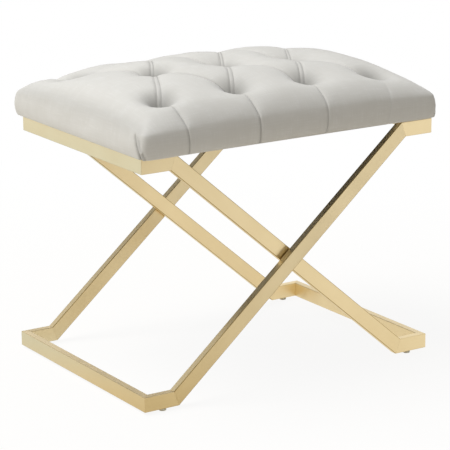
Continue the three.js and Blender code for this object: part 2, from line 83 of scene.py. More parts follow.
# Seat, measured on the flat pattern of its cover
EDGE_TURN = np.radians(78)  # how far the rounded edge turns before the side goes on
EDGE_WAY, SIDE_WAY = 58 * MM, 46 * MM  # along the rounded edge, and down the side below it
HEM_ROLL = 1.6 * MM  # radius on which the hem turns under
HEM_DROP = 1.1 * MM  # how far the rolled rim settles onto the tubes, outside the dust cover
HEM_TURNED = 20 * MM  # how far the hem reaches in under the board
INNER_GAP = 0.3 * MM  # between the cover and what it holds
INNER_CORNER = 4 * MM  # radius of the hollow's corners

# Tufts, each standing on its CAD button's centre, and how far the padding has settled broadly
# round each, from left to right
TUFT_ROWS = (("near", 4), ("middle", 3), ("far", 4))
SETTLED = (
    (-7 * MM, 6 * MM, 8 * MM, 3 * MM),
    (2 * MM, 21 * MM, 21 * MM),
    (6 * MM, 13 * MM, 16 * MM, 2 * MM),
)
SETTLED_REACH = 58 * MM  # how wide that settling is
PIT_SHADE = 23 * MM  # how far the painted shade reaches round a button

# Folds over the near and far edges: how far each leans to the right by the hem, how deep its
# line is, how far past its tuft it deepens, and the reach of its lap to either side
EDGE_LEAN = {0: (6 * MM, 1 * MM, -8 * MM, -24 * MM), 2: (-30 * MM, -6 * MM, -62 * MM, 10 * MM)}
EDGE_DEPTH = {0: (0.7, 0.75, 0.55, 0.15), 2: (1.2, 1.2, 1.2, 1.2)}
EDGE_START = {0: 26 * MM, 2: -8 * MM}
LAP_REACH = 60 * MM
LAP_FADE = (14 * MM, 34 * MM)  # where the lap begins, past its tuft
TUFT_END = (4 * MM, 26 * MM)  # where an edge fold's depth at its tuft ends
EDGE_FADE = 36 * MM  # the way over which it deepens again
STRIP_NARROWS = 0.36  # share that a double fold's strip loses from the middle row to the far one
LINE = {"double": 1.1 * MM, "single": 1.3 * MM, "edge": 1.3 * MM}  # half width of a fold's groove
CREASE_SHARE = {"double": 0.5, "single": 0.9, "edge": 0.6, "tuft": 0.85}  # how dark the painted shade is in its crease, or round a tuft
FOLD_END = 0.02  # share of a fold's length over which its groove fades at either end
CORNER_ARC = 41 * MM  # from the start of a corner's turn to its tip, round the side
CORNER_FOLD_START, CORNER_FOLD_END = 0.5, 0.86  # shares of that way, at the side's top and hem
CORNER_MIDDLE = 4 * MM  # from a corner fold's line to the middle of its lip
CORNER_FADE = (0.85 * EDGE_WAY, 1.25 * EDGE_WAY)  # where the fold begins, on the way out

# A corner's groove, lip and second groove: how far each stands out as a share of the lap, how
# far it is beyond the fold's line, and how wide it is
CORNER_RELIEF = ((-2.6, 0, 2.4 * MM), (0.9, 4.5 * MM, 2 * MM), (-1.1, 8 * MM, 1.6 * MM))

# Painted shade on the rounded edge of the short ends: where along the way out, how
# widely, how soon it ends at a corner, and how much darker it is
END_SHADE_MIDDLE, END_SHADE_REACH, END_SHADE_TURN, END_SHADE_SHARE = 47 * MM, 20 * MM, 12 * MM, 0.22

# How near a tuft, a fold or the hem the padding may not push the cover
CLEAR = {"tuft": 15 * MM, "double": 7 * MM, "single": 3.5 * MM, "edge": 3.5 * MM, "corner": 7 * MM}
FREE_SIDE = 0.8  # share of the side above the held hem

STAPLE_INSET = 8 * MM  # from the dust cover's edge
STAPLES_END = 62 * MM  # from the dust cover's corners

# Stage: the camera as it was fitted to the photograph, 33 degrees left of the front and 15
# above the floor, with its turns in radians
CAMERA_PLACE = (-1.95403, -3.00547, 1.19314)
CAMERA_YAW, CAMERA_PITCH, CAMERA_ROLL = -0.576665, 0.263532, -0.004207
FLOOR_HALF = 9.0  # half the width of the floor


def linear(code):
    """A colour from its sRGB hex code to linear light, by the standard curve."""
    parts = np.array([int(code[i : i + 2], 16) for i in (1, 3, 5)]) / 255
    return tuple(np.where(parts > 0.04045, ((parts + 0.055) / 1.055) ** 2.4, parts / 12.92))


def length(name, default, description):
    """A property that holds a length in metres."""
    return FloatProperty(
        name=name, description=description, default=default, min=0, precision=5, unit="LENGTH"
    )


def share(name, default, description):
    """A property that holds a share from 0 to 1."""
    return FloatProperty(
        name=name, description=description, default=default, min=0, max=1, subtype="FACTOR"
    )


def colour(name, code, description):
    """A property that holds a colour, given as its sRGB hex code."""
    return FloatVectorProperty(
        name=name, description=description, default=linear(code), min=0, max=1, subtype="COLOR"
    )


class GoldSettings(bpy.types.PropertyGroup):
    """Sizes and colours of the brushed loops"""

    corner_radius: length("Corner radius", 0.9 * MM, "Rounding along the tube's four corners")
    wall: length("Wall", 1.5 * MM, "Thickness of the tube's wall")
    seam_gap: length("Seam gap", 0.02 * MM, "Half the gap left in each mitred seam")
    seam_bevel: length("Seam bevel", 0.15 * MM, "Dressed edge on each side of a mitred seam")
    tint: colour("Gold", "#F0DCB0", "Colour of the plating")
    # painted dark reflection: the colour along the rounded corners
    corner_tint: colour("Corner gold", "#A48A50", "Colour along the rounded corners")
    roughness: share("Roughness", 0.35, "How far the brushing spreads a reflection")
    brushing: share("Brushing", 0.8, "How much wider a reflection spreads across the lines")


class SeatSettings(bpy.types.PropertyGroup):
    """Form and fabric of the padded seat"""

    edge_reach: length("Edge reach", 42 * MM, "How far in the rounded edge reaches")
    edge_rise: length("Edge rise", 22 * MM, "How far the rounded edge climbs midway")
    rise_at_corner: length("Rise at the corners", 9 * MM, "How far it climbs there")
    side: length("Side", 42 * MM, "Height of the upright side midway")
    side_at_corner: length("Side at the corners", 37 * MM, "Height of the upright side there")
    side_bulge: length("Side bulge", 3 * MM, "How far the sides swell past the rounded edge")
    draw_in: length("Draw-in", 3.5 * MM, "How far the hem lies inside the swell")
    overhang: length("Overhang", 2.5 * MM, "How far the short ends stand out past the CAD cover")
    crown: length("Crown", 42.5 * MM, "What the middle gains over the rounded edge")
    tuft_depth: length("Tuft depth", 29.5 * MM, "How far a button pulls the cover down")
    tuft_reach: length("Tuft reach", 25 * MM, "How wide that pull is")
    middle_tuft_reach: length("Middle tuft reach", 33 * MM, "How wide the middle one's is")
    tuft_core: length("Tuft core", 10 * MM, "How wide the steep part at the button is")
    core_share: share("Core share", 0.28, "Share of the pull that the steep part makes")
    fold_at_tuft: length("Fold at a tuft", 4 * MM, "Depth of a fold where it meets a tuft")
    fold_midway: length("Fold midway", 8 * MM, "Depth of a single fold between two tufts")
    double_fold: length("Double fold", 1.2 * MM, "Depth of a double fold")
    edge_fold: length("Edge fold", 7 * MM, "Depth of the folds that run over the long edges")
    fold_reach: length("Fold reach", 8.5 * MM, "How far from its line a fold fades")
    strip: length("Folded strip", 5.6 * MM, "Width of the flat strip between double folds, midway")
    groove: length("Groove", 1.7 * MM, "Depth of the grooves along a fold")
    lap: length("Lap", 1.8 * MM, "How far a lapped fold stands proud")
    hem_lift: length("Hem lift", 3 * MM, "Rise of the hem midway along the long sides")
    spacing: length("Spacing", 4.4 * MM, "Distance between the cover's points")
    fill: share("Fill", 0.75, "How tightly the padding fills the cover")
    pressure: FloatProperty(
        name="Pressure", description="Push of the padding in the simulation", default=3.0, min=0
    )
    frames: IntProperty(name="Frames", description="Steps of the simulation", default=20, min=2)
    cap: length("Cap", 7 * MM, "The furthest that the simulation may move a point")
    evening: IntProperty(
        name="Evening", description="Rounds of evening out the swell", default=14, min=0
    )
    tint: colour("Velvet", "#DCDAD6", "Colour of the pile")
    # darker tone of the random patches, and, scaled down, of the painted shade
    shade: colour("Velvet in shade", "#CDCAC3", "Colour where the pile leans away")


class FixingSettings(bpy.types.PropertyGroup):
    """Glides, fixings and what is under the seat"""

    staple_pitch: length("Staple pitch", 42 * MM, "Distance between the staples")
    lining: colour("Lining", "#2A2A2B", "Colour of the dust cover")
    plastic: colour("Glide plastic", "#DDD7BF", "Colour of the glides")
    zinc: colour("Zinc", "#B9BBBC", "Colour of the plated screws and tabs")
    birch: colour("Birch", "#D2B184", "Colour of the seat board")
    foam: colour("Foam", "#E9DFB8", "Colour of the foam")


class StageSettings(bpy.types.PropertyGroup):
    """Floor, lamps and camera"""

    key: FloatProperty(
        name="Key lamp", description="Power of the lamp at the left", default=200, unit="POWER"
    )
    fill: FloatProperty(
        name="Fill lamp", description="Power of the lamp behind", default=16, unit="POWER"
    )
    sky: share("Sky", 0.37, "Strength of the light from all round")
    floor: colour("Floor", "#EEE7DA", "Colour of the floor")
    card: colour("Card", "#141210", "Colour of the dark card")
    lens: FloatProperty(
        name="Lens", description="Focal length", default=171.73, unit="CAMERA"
    )


# Nodes and materials


def add(tree, kind, inputs=(), out=0, **settings):
    """Adds one node, links it and returns one of its outputs.

    Inputs are values, or sockets to link, in the node's own order or by name or number, and
    settings are the node's.
    """
    made = tree.nodes.new(f"ShaderNode{kind}")
    for name, value in settings.items():
        setattr(made, name, value)
    for key, value in inputs.items() if isinstance(inputs, dict) else enumerate(inputs):
        if isinstance(value, bpy.types.NodeSocket):
            tree.links.new(value, made.inputs[key])
        else:
            made.inputs[key].default_value = value
    return made.outputs[out]


def new_finish(name, constants):
    """A new material and its tree, with these constants on the shader's own sockets."""
    material = bpy.data.materials.new(name)
    material.use_nodes = True
    for key, value in constants.items():
        material.node_tree.nodes["Principled BSDF"].inputs[key].default_value = value
    return material, material.node_tree


def spread_noise(tree, vector, size, detail=2.0, stretch=(1, 1, 1)):
    """Noise with features of a size, before they are stretched, and with its middle spread out
    to run from 0 to 1."""
    mapped = add(tree, "Mapping", {"Vector": vector, "Scale": stretch})
    raw = add(tree, "TexNoise", {"Vector": mapped, "Scale": 1 / size, "Detail": detail})
    return add(tree, "MapRange", (raw, 0.3, 0.7, 0.0, 1.0))


def toned(tint, by, lift=0.0):
    """A tint with its parts scaled, and lifted a little."""
    return np.minimum(1, np.array(tint[:3]) * by + lift)


def dress(tree, tint, stains, rough=(), relief=None):
    """Links a finish's colour, roughness and relief to its shader.

    Each stain is a pattern, how much of it shows where the pattern is 0 and 1, and its tint.
    Roughness is a sum of patterns, each with its values where it is 0 and 1. Relief is a
    pattern, its height and its strength.
    """
    inputs = tree.nodes["Principled BSDF"].inputs
    shown = (*tint[:3], 1.0)
    for pattern, low, high, stain in stains:
        factor = add(tree, "MapRange", (pattern, 0, 1, low, high))
        shown = add(tree, "Mix", {0: factor, 6: shown, 7: (*stain[:3], 1.0)}, 2, data_type="RGBA")
    tree.links.new(shown, inputs["Base Color"])
    total = None
    for pattern, low, high in rough:
        part = add(tree, "MapRange", (pattern, 0, 1, low, high))
        total = add(tree, "Math", (total, part)) if total else part
    if total:
        tree.links.new(total, inputs["Roughness"])
    if relief:
        pattern, height, strength = relief
        bump = {"Height": pattern, "Distance": height, "Strength": strength}
        tree.links.new(add(tree, "Bump", bump), inputs["Normal"])


def brushed_gold(gold):
    """Brass-coloured plating on steel, brushed along each tube.

    The brushing leaves fine lines along the tube, so a reflection is sharp along them and wide
    across them. Along the rounded corners, most along the legs, a dark reflection is painted
    into the colour. Real lines are about 0.1 mm wide, and these are drawn 1.5 mm wide so that
    they show.
    """
    material, tree = new_finish(
        "brushed_gold_plated_steel",
        {"Metallic": 1.0, "Anisotropic": gold.brushing, "Anisotropic Rotation": 0.25},
    )
    strip = add(tree, "UVMap", uv_map="strip")
    corner = add(tree, "Attribute", out="Fac", attribute_name="corner")
    lines = spread_noise(tree, strip, 1.5 * MM, 3, (0.01, 1, 1))
    broad_lines = spread_noise(tree, strip, 4 * MM, 2, (0.02, 1, 1))
    handling = spread_noise(tree, add(tree, "TexCoord", out="Object"), 70 * MM, 3)
    tone = add(tree, "Math", (lines, 0.6, broad_lines), operation="MULTIPLY_ADD")
    deeper = toned(gold.tint, (0.93, 0.91, 0.86))
    # the corner stain is a painted dark reflection along the rounded corners
    dress(
        tree,
        gold.tint,
        [(corner, 0, 1, gold.corner_tint), (tone, 0, 0.09, deeper), (handling, 0, 0.3, deeper)],
        [(tone, gold.roughness - 0.015, gold.roughness + 0.015), (handling, -0.02, 0.03)],
        (tone, 0.002 * MM, 0.05),
    )
    tangent = add(tree, "Tangent", direction_type="UV_MAP", uv_map="strip")
    tree.links.new(tangent, tree.nodes["Principled BSDF"].inputs["Tangent"])
    return material


def clouded_plating(name, tint, size, deeper, most, rough):
    """Plating with faint cloudy patches, where it is deeper in colour and duller."""
    material, tree = new_finish(name, {"Metallic": 1.0})
    clouds = spread_noise(tree, add(tree, "TexCoord", out="Object"), size, 3)
    stains = [(clouds, 0, most, toned(tint, deeper))]
    dress(tree, tint, stains, [(clouds, *rough)], (clouds, 0.02 * MM, 1))
    return material


def plated_tab(gold):
    """The same plating on the welded tabs, which are tumbled, so it has no lines and is duller."""
    return clouded_plating("tumbled_gold_plated_steel", gold.tint, 5 * MM, 0.8, 0.5, (0.32, 0.44))


def zinc_plate(fixing):
    """Bright zinc on steel, with the faint cloudy patches that barrel plating leaves."""
    return clouded_plating("zinc_plated_steel", fixing.zinc, 4 * MM, 0.72, 0.6, (0.28, 0.46))


def pile_velvet(seat):
    """Short polyester velvet on a woven ground, pulled tight over foam.

    The pile leans a little differently from place to place, which gives soft pale and dark
    patches some 60 mm across, and the ground shows through as faint threads both ways. Threads
    are about 0.4 mm apart and are drawn 2.4 mm apart so that they show. Shade is painted in
    too: darker round the edges of the short ends, in the creases and round the buttons.
    """
    material, tree = new_finish(
        "short_pile_velvet",
        {
            "Roughness": 0.95,
            "IOR": 1.45,
            "Specular IOR Level": 0.2,
            "Sheen Weight": 0.35,
            "Sheen Roughness": 0.4,
        },
    )
    pattern = add(tree, "UVMap", uv_map="pattern")
    nap = add(tree, "Attribute", out="Fac", attribute_name="nap")
    patches = spread_noise(tree, pattern, 60 * MM, 3)
    spots = spread_noise(tree, pattern, 17 * MM, 3)
    along = spread_noise(tree, pattern, 2.4 * MM, 2, (0.05, 1, 1))
    across = spread_noise(tree, pattern, 2.4 * MM, 2, (1, 0.05, 1))
    pile = spread_noise(tree, pattern, 0.9 * MM)
    threads = add(tree, "Math", (along, across))
    lean = add(tree, "Math", (patches, 0.5, spots), operation="MULTIPLY_ADD")
    stains = [(lean, 0, 0.5), (threads, 0, 0.65), (pile, 0, 0.2)]
    # the last stain is painted shade, round the short ends' edges, in the creases and round the
    # buttons
    stains = [(*stain, seat.shade) for stain in stains] + [(nap, 0, 1, toned(seat.shade, 0.38))]
    relief = add(tree, "Math", (threads, 0.5, pile), operation="MULTIPLY_ADD")
    dress(tree, seat.tint, stains, [(spots, 0.88, 0.98)], (relief, 0.12 * MM, 0.7))
    return material


def moulded_plastic(fixing):
    """Moulded nylon with a fine spark-eroded grain of about 0.3 mm and a soft shine."""
    material, tree = new_finish("moulded_nylon", {"IOR": 1.53})
    place = add(tree, "TexCoord", out="Object")
    grain = spread_noise(tree, place, 0.3 * MM)
    dust = spread_noise(tree, place, 6 * MM, 3)
    stains = [(dust, 0, 0.4, toned(fixing.plastic, 1.7, 0.01))]
    dress(tree, fixing.plastic, stains, [(dust, 0.42, 0.6)], (grain, 0.03 * MM, 1))
    return material


def spun_lining(fixing):
    """Black spun-bonded cloth: matted fibres with rows of pressed dots 2 mm apart."""
    constants = {"Specular IOR Level": 0.3, "Sheen Weight": 0.08}
    material, tree = new_finish("spun_bonded_lining", constants)
    flat = add(tree, "UVMap", uv_map="pattern")
    cells = {"Vector": flat, "Scale": 1 / (2 * MM), "Randomness": 0.15}
    dots = add(tree, "TexVoronoi", cells, "Distance", voronoi_dimensions="2D")
    pressed = add(tree, "MapRange", (dots, 0.2, 0.34))
    fibres = spread_noise(tree, flat, 0.8 * MM, 4)
    stains = [(fibres, 0, 0.55, toned(fixing.lining, 1.9, 0.004))]
    relief = add(tree, "Math", (fibres, 0.4, pressed), operation="MULTIPLY_ADD")
    dress(tree, fixing.lining, stains, [(pressed, 0.6, 0.92)], (relief, 0.12 * MM, 1))
    return material


def birch_plywood(fixing):
    """Birch plywood: pale faces with long grain, and plies 1.4 mm thick that show at the edge."""
    material, tree = new_finish("birch_plywood", {"IOR": 1.5})
    place = add(tree, "TexCoord", out="Object")
    grain = spread_noise(tree, place, 3 * MM, 4, (0.03, 1, 1))
    level = add(tree, "SeparateXYZ", (place,), "Z")
    layers = add(tree, "Math", (level, 1 / (2.8 * MM)), operation="MULTIPLY")
    turned = add(tree, "Math", (layers,), operation="FRACT")
    ply = add(tree, "MapRange", (turned, 0.47, 0.53))
    darker = toned(fixing.birch, 0.6)
    stains = [(grain, 0, 0.5, darker), (ply, 0, 0.25, darker)]
    dress(tree, fixing.birch, stains, [(grain, 0.55, 0.75)], (grain, 0.06 * MM, 1))
    return material


def open_foam(fixing):
    """Open-cell polyurethane foam, with cells of about 1.5 mm that catch the light unevenly."""
    material, tree = new_finish("open_cell_foam", {"Roughness": 1.0})
    cells = {"Vector": add(tree, "TexCoord", out="Object"), "Scale": 1 / (1.5 * MM)}
    cells = add(tree, "TexVoronoi", cells, "Distance")
    stains = [(cells, 0.6, 0.0, toned(fixing.foam, 0.7))]
    dress(tree, fixing.foam, stains, relief=(cells, 0.4 * MM, 1))
    return material


# Meshes


def unit(vectors):
    """Vectors scaled to a length of 1."""
    return vectors / np.linalg.norm(vectors, axis=-1, keepdims=True)


def arc(centre, radius, turn):
    """Points on a circle or, with a pair for its radius, on an ellipse, at angles from +X."""
    return np.asarray(centre) + radius * np.stack([np.cos(turn), np.sin(turn)], 1)


def new_mesh(name, points, faces, uv=None, uv_name="pattern", sharp=None, **tones):
    """A mesh from points (n, 3) and faces (m, 3 or 4), with a UV for each face's corner.

    Edges that turn by more than sharp degrees are sharp. A tone is a value for each point.
    """
    mesh = bpy.data.meshes.new(name)
    mesh.vertices.add(len(points))
    mesh.vertices.foreach_set("co", np.asarray(points, np.float32).ravel())
    mesh.loops.add(faces.size)
    mesh.loops.foreach_set("vertex_index", faces.astype(np.int32).ravel())
    mesh.polygons.add(len(faces))
    starts = np.arange(0, faces.size, faces.shape[1], dtype=np.int32)
    mesh.polygons.foreach_set("loop_start", starts)
    mesh.update(calc_edges=True)
    if mesh.validate():
        raise RuntimeError(f"{name} has faces that Blender had to mend")
    if uv is not None:
        layer = mesh.uv_layers.new(name=uv_name)
        layer.data.foreach_set("uv", np.asarray(uv, np.float32).ravel())
    mesh.shade_smooth()
    for tone, values in tones.items():
        attribute = mesh.attributes.new(tone, "FLOAT", "POINT")
        attribute.data.foreach_set("value", np.asarray(values, np.float32).ravel())
    if sharp:
        mesh.set_sharp_from_angle(angle=np.radians(sharp))
    return mesh


def new_object(name, data):
    """An object in the scene."""
    made = bpy.data.objects.new(name, data)
    bpy.context.scene.collection.objects.link(made)
    return made


def add_piece(mesh, material, slot, *replaced, body=BODY):
    """Puts a finished mesh in the scene as a piece that rides on a body."""
    piece = new_object(mesh.name, mesh)
    mesh.materials.append(material)
    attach(piece, body)
    if replaced:
        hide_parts(*replaced)
    return piece


def ring_faces(rings, count, closed):
    """Quads between rings of count points each. Closed joins the last ring to the first."""
    ring = np.arange(rings if closed else rings - 1)
    i, j = (grid.ravel() for grid in np.meshgrid(ring, np.arange(count), indexing="ij"))
    up, on = (i + 1) % rings, (j + 1) % count
    return np.stack([i * count + j, i * count + on, up * count + on, up * count + j], 1)


def capped_rings(rings, tips):
    """Points and triangles of a closed form: rings from the bottom up, with a tip at each end."""
    count = len(rings[0])
    points = np.concatenate([*rings, tips])
    here = np.arange(count)
    on = (here + 1) % count
    last = (len(rings) - 1) * count
    low_cap = np.stack([on, here, np.full(count, len(points) - 2)], 1)
    high_cap = np.stack([last + here, last + on, np.full(count, len(points) - 1)], 1)
    quads = ring_faces(len(rings), count, closed=False)
    return points, np.concatenate([quads[:, [0, 1, 2]], quads[:, [0, 2, 3]], low_cap, high_cap])


def upright(node):
    """Radius, height and the middle of the underside of an upright round node."""
    low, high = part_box(node)
    foot = np.array([(low.x + high.x) / 2, (low.y + high.y) / 2, low.z])
    return (high.x - low.x) / 2, high.z - low.z, foot


def turned_form(name, profile, foot, sides, sharp=None):
    """A turned solid: the profile's (radius, height) pairs carried round an upright axis.

    The first and last pairs have a small radius, and a point on the axis closes each end.
    """
    around = arc((0, 0), 1, np.arange(sides) * 2 * np.pi / sides)
    rings = [np.column_stack([radius * around, np.full(sides, level)]) for radius, level in profile]
    points, faces = capped_rings(rings, [[0, 0, profile[0][1]], [0, 0, profile[-1][1]]])
    points = points + foot
    return new_mesh(name, points, faces, points[faces][:, :, :2], sharp=sharp)


# Gold loops


def loop_corners(loop):
    """Corners of a loop's centre line, from the near end of its floor bar round to the far end.

    A bend's half angle follows from the places where the returns end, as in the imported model:
    the leg's lower edge climbs from the bend's outer corner below to its inner corner above,
    and each mitre halves the bend.
    """
    floor_low, floor_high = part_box(f"{loop}_floor_bar")
    seat_low, seat_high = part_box(f"{loop}_seat_bar")
    leg_low, leg_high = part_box(f"{loop}_near_leg")
    thick, tall = leg_high.y - leg_low.y, floor_high.z - floor_low.z
    side = 1 if floor_low.x < 0 else -1
    floor_half = max(abs(floor_low.x), abs(floor_high.x))
    seat_half = max(abs(seat_low.x), abs(seat_high.x))
    run = floor_half + seat_half - SEAT_RETURN - FLOOR_RETURN
    rise = seat_high.z - tall - floor_low.z
    slope = (np.sqrt(run**2 + rise * (rise + 2 * tall)) - run) / (rise + 2 * tall)
    shift = tall * slope
    floor_z = (floor_low.z + floor_high.z) / 2
    seat_z = (seat_low.z + seat_high.z) / 2
    profile = (
        (-floor_half + thick / 2, floor_z),
        (-floor_half + FLOOR_RETURN - shift / 2, floor_z),
        (seat_half - SEAT_RETURN + shift / 2, seat_z),
        (seat_half - thick / 2, seat_z),
    )
    y = (leg_low.y + leg_high.y) / 2
    near = [(side * x, y, z) for x, z in profile]
    far = [(side * x, -y, z) for x, z in profile]
    return np.array(near + far[::-1]), np.array([thick, tall])


def tube_section(size, radius):
    """Points round a rounded rectangle, with a guard point just inside each flat's two ends.

    Returns the points, how far round each is, and 1 where a point is on a rounding.
    """
    points, rounded = [], []
    for quarter, signs in enumerate(((1, 1), (-1, 1), (-1, -1), (1, -1))):
        turn = np.linspace(0, np.pi / 2, ROUNDING_STEPS + 1) + quarter * np.pi / 2
        corner = arc(signs * (size / 2 - radius), radius, turn)
        into, on = (np.array([-np.sin(end), np.cos(end)]) for end in (turn[0], turn[-1]))
        points += [corner[0] - GUARD * into, *corner, corner[-1] + GUARD * on]
        rounded += [0.0, *np.ones(len(corner)), 0.0]
    points = np.array(points)
    steps_round = np.linalg.norm(np.roll(points, -1, 0) - points, axis=1)
    return points, np.concatenate([[0], np.cumsum(steps_round)]), np.array(rounded)


def mitred_tube(name, ends, across, size, gold, corner_shade):
    """A hollow tube: its section carried from one mitre plane to the other.

    Each end is a corner of the loop and its mitre's normal. Each ring is the section slid along
    the tube until it lies parallel to the nearer mitre. The rings are the dressed edge, the
    full section and a guard at either end, then the bore.
    """
    along = unit(ends[1][0] - ends[0][0])
    up = np.cross(along, across)
    section, round_way, rounded = tube_section(size, gold.corner_radius)
    bore, dressed = (section * (1 - 2 * by / size) for by in (gold.wall, gold.seam_bevel))
    gap = gold.seam_gap
    edge = gap + gold.seam_bevel
    rings = (
        (0, gap, dressed, 0),
        (0, edge, section, 1),
        (0, edge + GUARD, section, 1),
        (1, edge + GUARD, section, 1),
        (1, edge, section, 1),
        (1, gap, dressed, 0),
        (1, gap, bore, 0),
        (0, gap, bore, 0),
    )
    points = []
    for at_end, back, outline, _ in rings:
        corner, normal = ends[at_end]
        flat = outline[:, :1] * across + outline[:, 1:] * up
        slide = (-1 if at_end else 1) * back - (flat @ normal) / (normal @ along)
        points.append(corner + flat + slide[:, None] * along)
    points = np.concatenate(points)
    count = len(section)
    faces = ring_faces(len(rings), count, closed=True)
    j = faces % count
    j_on = np.where((j == 0) & (j[:, [0]] != 0), count, j)
    uv = np.stack([((points - ends[0][0]) @ along)[faces], round_way[j_on]], 2)
    # painted dark reflection on the rounded corners of the outer rings
    painted_corner_shade = np.outer([corner_shade * ring[3] for ring in rings], rounded)
    return new_mesh(name, points, faces, uv, "strip", sharp=40, corner=painted_corner_shade)


def pierce(mesh, foot_node):
    """Cuts the hole for a glide's stud through the underside of a return."""
    _, tall, foot = upright(foot_node)
    profile = [[STUD_HOLE, -1 * MM], [STUD_HOLE, tall + 3 * MM]]
    drill = new_object("drill", turned_form("drill", profile, foot, sides=32))
    blank = new_object("blank", mesh)
    cut = blank.modifiers.new("hole", "BOOLEAN")
    cut.operation, cut.solver, cut.object = "DIFFERENCE", "EXACT", drill
    graph = bpy.context.evaluated_depsgraph_get()
    pierced = bpy.data.meshes.new_from_object(blank.evaluated_get(graph))
    pierced.materials.clear()
    name = mesh.name
    for used in (drill.data, mesh):
        bpy.data.meshes.remove(used)  # and with it its object
    pierced.name = name
    return pierced


class STOOL_OT_gold_loops(bpy.types.Operator):
    """Builds the two loops of brushed gold tube, mitred at every bend"""

    bl_idname = "stool.gold_loops"
    bl_label = "Gold loops"

    def execute(self, context):
        gold = context.scene.stool_gold
        finish = brushed_gold(gold)
        for loop, side in LOOPS.items():
            corners, size = loop_corners(loop)
            way = unit(np.roll(corners, -1, 0) - corners)
            mitres = unit(way + np.roll(way, 1, 0))
            for i, tube in enumerate(TUBES):
                ends = [(corners[k], mitres[k]) for k in (i, (i + 1) % len(TUBES))]
                across = np.array([1.0, 0, 0] if "bar" in tube else [0, 1.0, 0])
                node = f"{loop}_{tube}"
                # how much painted dark reflection a tube's corners get, most on the legs
                corner_shade = LEG_CORNER_SHADE if "leg" in tube else BAR_CORNER_SHADE
                mesh = mitred_tube(f"brushed_{node}", ends, across, size, gold, corner_shade)
                if "floor_return" in tube:
                    mesh = pierce(mesh, f"glide_foot_{side}_{tube.split('_')[0]}")
                add_piece(mesh, finish, "brushed_gold", node)
        return {"FINISHED"}


# Padded seat


def bell(distance, width):
    """exp(-(distance / width)^2)"""
    return np.exp(-((distance / width) ** 2))


def smooth_step(value, low, high):
    """3 t^2 - 2 t^3, where t goes from 0 to 1 as the value goes from low to high."""
    t = np.clip((value - low) / (high - low), 0, 1)
    return t * t * (3 - 2 * t)


def seat_form(seat):
    """The seat's settings, with what follows from them and from the CAD nodes."""
    low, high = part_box("tufted_cover")
    board_low, board_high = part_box("seat_board")
    half = np.array([high.x + seat.overhang, high.y])
    flat = half - seat.edge_reach - seat.side_bulge
    pattern = flat + EDGE_WAY + SIDE_WAY
    tufts = {}
    for row, (row_name, count) in enumerate(TUFT_ROWS):
        for column in range(count):
            button_low, button_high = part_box(f"tuft_button_{row_name}_{column + 1}")
            tufts[row, column] = np.array(((button_low + button_high) / 2)[:2])
    return SimpleNamespace(
        **{name: getattr(seat, name) for name in SeatSettings.__annotations__},
        hem=low.z,
        half=half,
        flat=flat,
        pattern=pattern,
        board=np.array([board_high.x, board_high.y]),
        board_low=board_low.z,
        core_low=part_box("foam_core")[0].z,
        tufts=tufts,
        folds=seat_folds(tufts, pattern),
    )


def seat_folds(tufts, pattern):
    """Folds between tufts of neighbouring rows, and from the end rows over the long edges to
    the pattern's rim.

    Folds that run to the right as they go back are doubled, and the others are single.
    """
    folds = []
    pitch = tufts[0, 1][0] - tufts[0, 0][0]
    for (row, column), a in tufts.items():
        for (next_row, _), b in tufts.items():
            if next_row == row + 1 and abs(b[0] - a[0]) < pitch:
                folds.append(SimpleNamespace(a=a, b=b, kind="double" if b[0] > a[0] else "single"))
        if row in EDGE_LEAN:
            over = np.array([a[0] + EDGE_LEAN[row][column], np.sign(a[1]) * pattern[1]])
            depth, start = EDGE_DEPTH[row][column], EDGE_START[row]
            folds.append(SimpleNamespace(a=a, b=over, kind="edge", depth=depth, start=start))
    return folds


def cornered(form, x, y, midway, at_corner):
    """From the value midway to the one at a corner by the cube of |x| |y| as shares of half."""
    reach = np.minimum(np.abs(x) / form.half[0], 1) * np.minimum(np.abs(y) / form.half[1], 1)
    return midway + (at_corner - midway) * reach**3


def side_height(form, x, y):
    return cornered(form, x, y, form.side, form.side_at_corner)


def edge_rise(form, x, y):
    return cornered(form, x, y, form.edge_rise, form.rise_at_corner)


def dome_height(form, x, y):
    """Crown times (1 - |x|^2.2) (1 - |y|^2.2), with x and y as shares of half."""
    along = np.minimum(np.abs(x) / form.half[0], 1)
    across = np.minimum(np.abs(y) / form.half[1], 1)
    return form.crown * (1 - along**2.2) * (1 - across**2.2)


def strip_half(form, y):
    """Half the width of a double fold's strip, which narrows in a straight line to the back."""
    return form.strip / 2 * (1 - STRIP_NARROWS * y / form.tufts[2, 0][1])


def fold_place(fold, x, y):
    """How far along a fold a point is, as a share, its signed distance aside, its distance, and
    the fold's length."""
    way = fold.b - fold.a
    size = np.hypot(*way)
    along = ((x - fold.a[0]) * way[0] + (y - fold.a[1]) * way[1]) / size**2
    aside = ((x - fold.a[0]) * way[1] - (y - fold.a[1]) * way[0]) / size
    t = np.clip(along, 0, 1)
    away = np.hypot(x - fold.a[0] - t * way[0], y - fold.a[1] - t * way[1])
    return along, aside, away, size


def fold_depth(form, fold, t, size):
    """Depth of a fold along its line, at a share t of its length.

    Between tufts it runs from its value at a tuft to its value midway by the square of the
    distance. Over a long edge it is deep at the tuft, shallow on the tuft's rim and deep again
    round the edge.
    """
    if fold.kind == "edge":
        run = t * size
        at_tuft = form.fold_at_tuft * (1 - smooth_step(run, *TUFT_END))
        over_edge = smooth_step(run, fold.start, fold.start + EDGE_FADE)
        return at_tuft + fold.depth * form.edge_fold * over_edge
    midway, at_tuft = form.fold_midway, form.fold_at_tuft
    if fold.kind == "double":
        midway, at_tuft = form.double_fold, 1.3 * form.double_fold
    return midway + (at_tuft - midway) * np.abs(2 * t - 1) ** 2


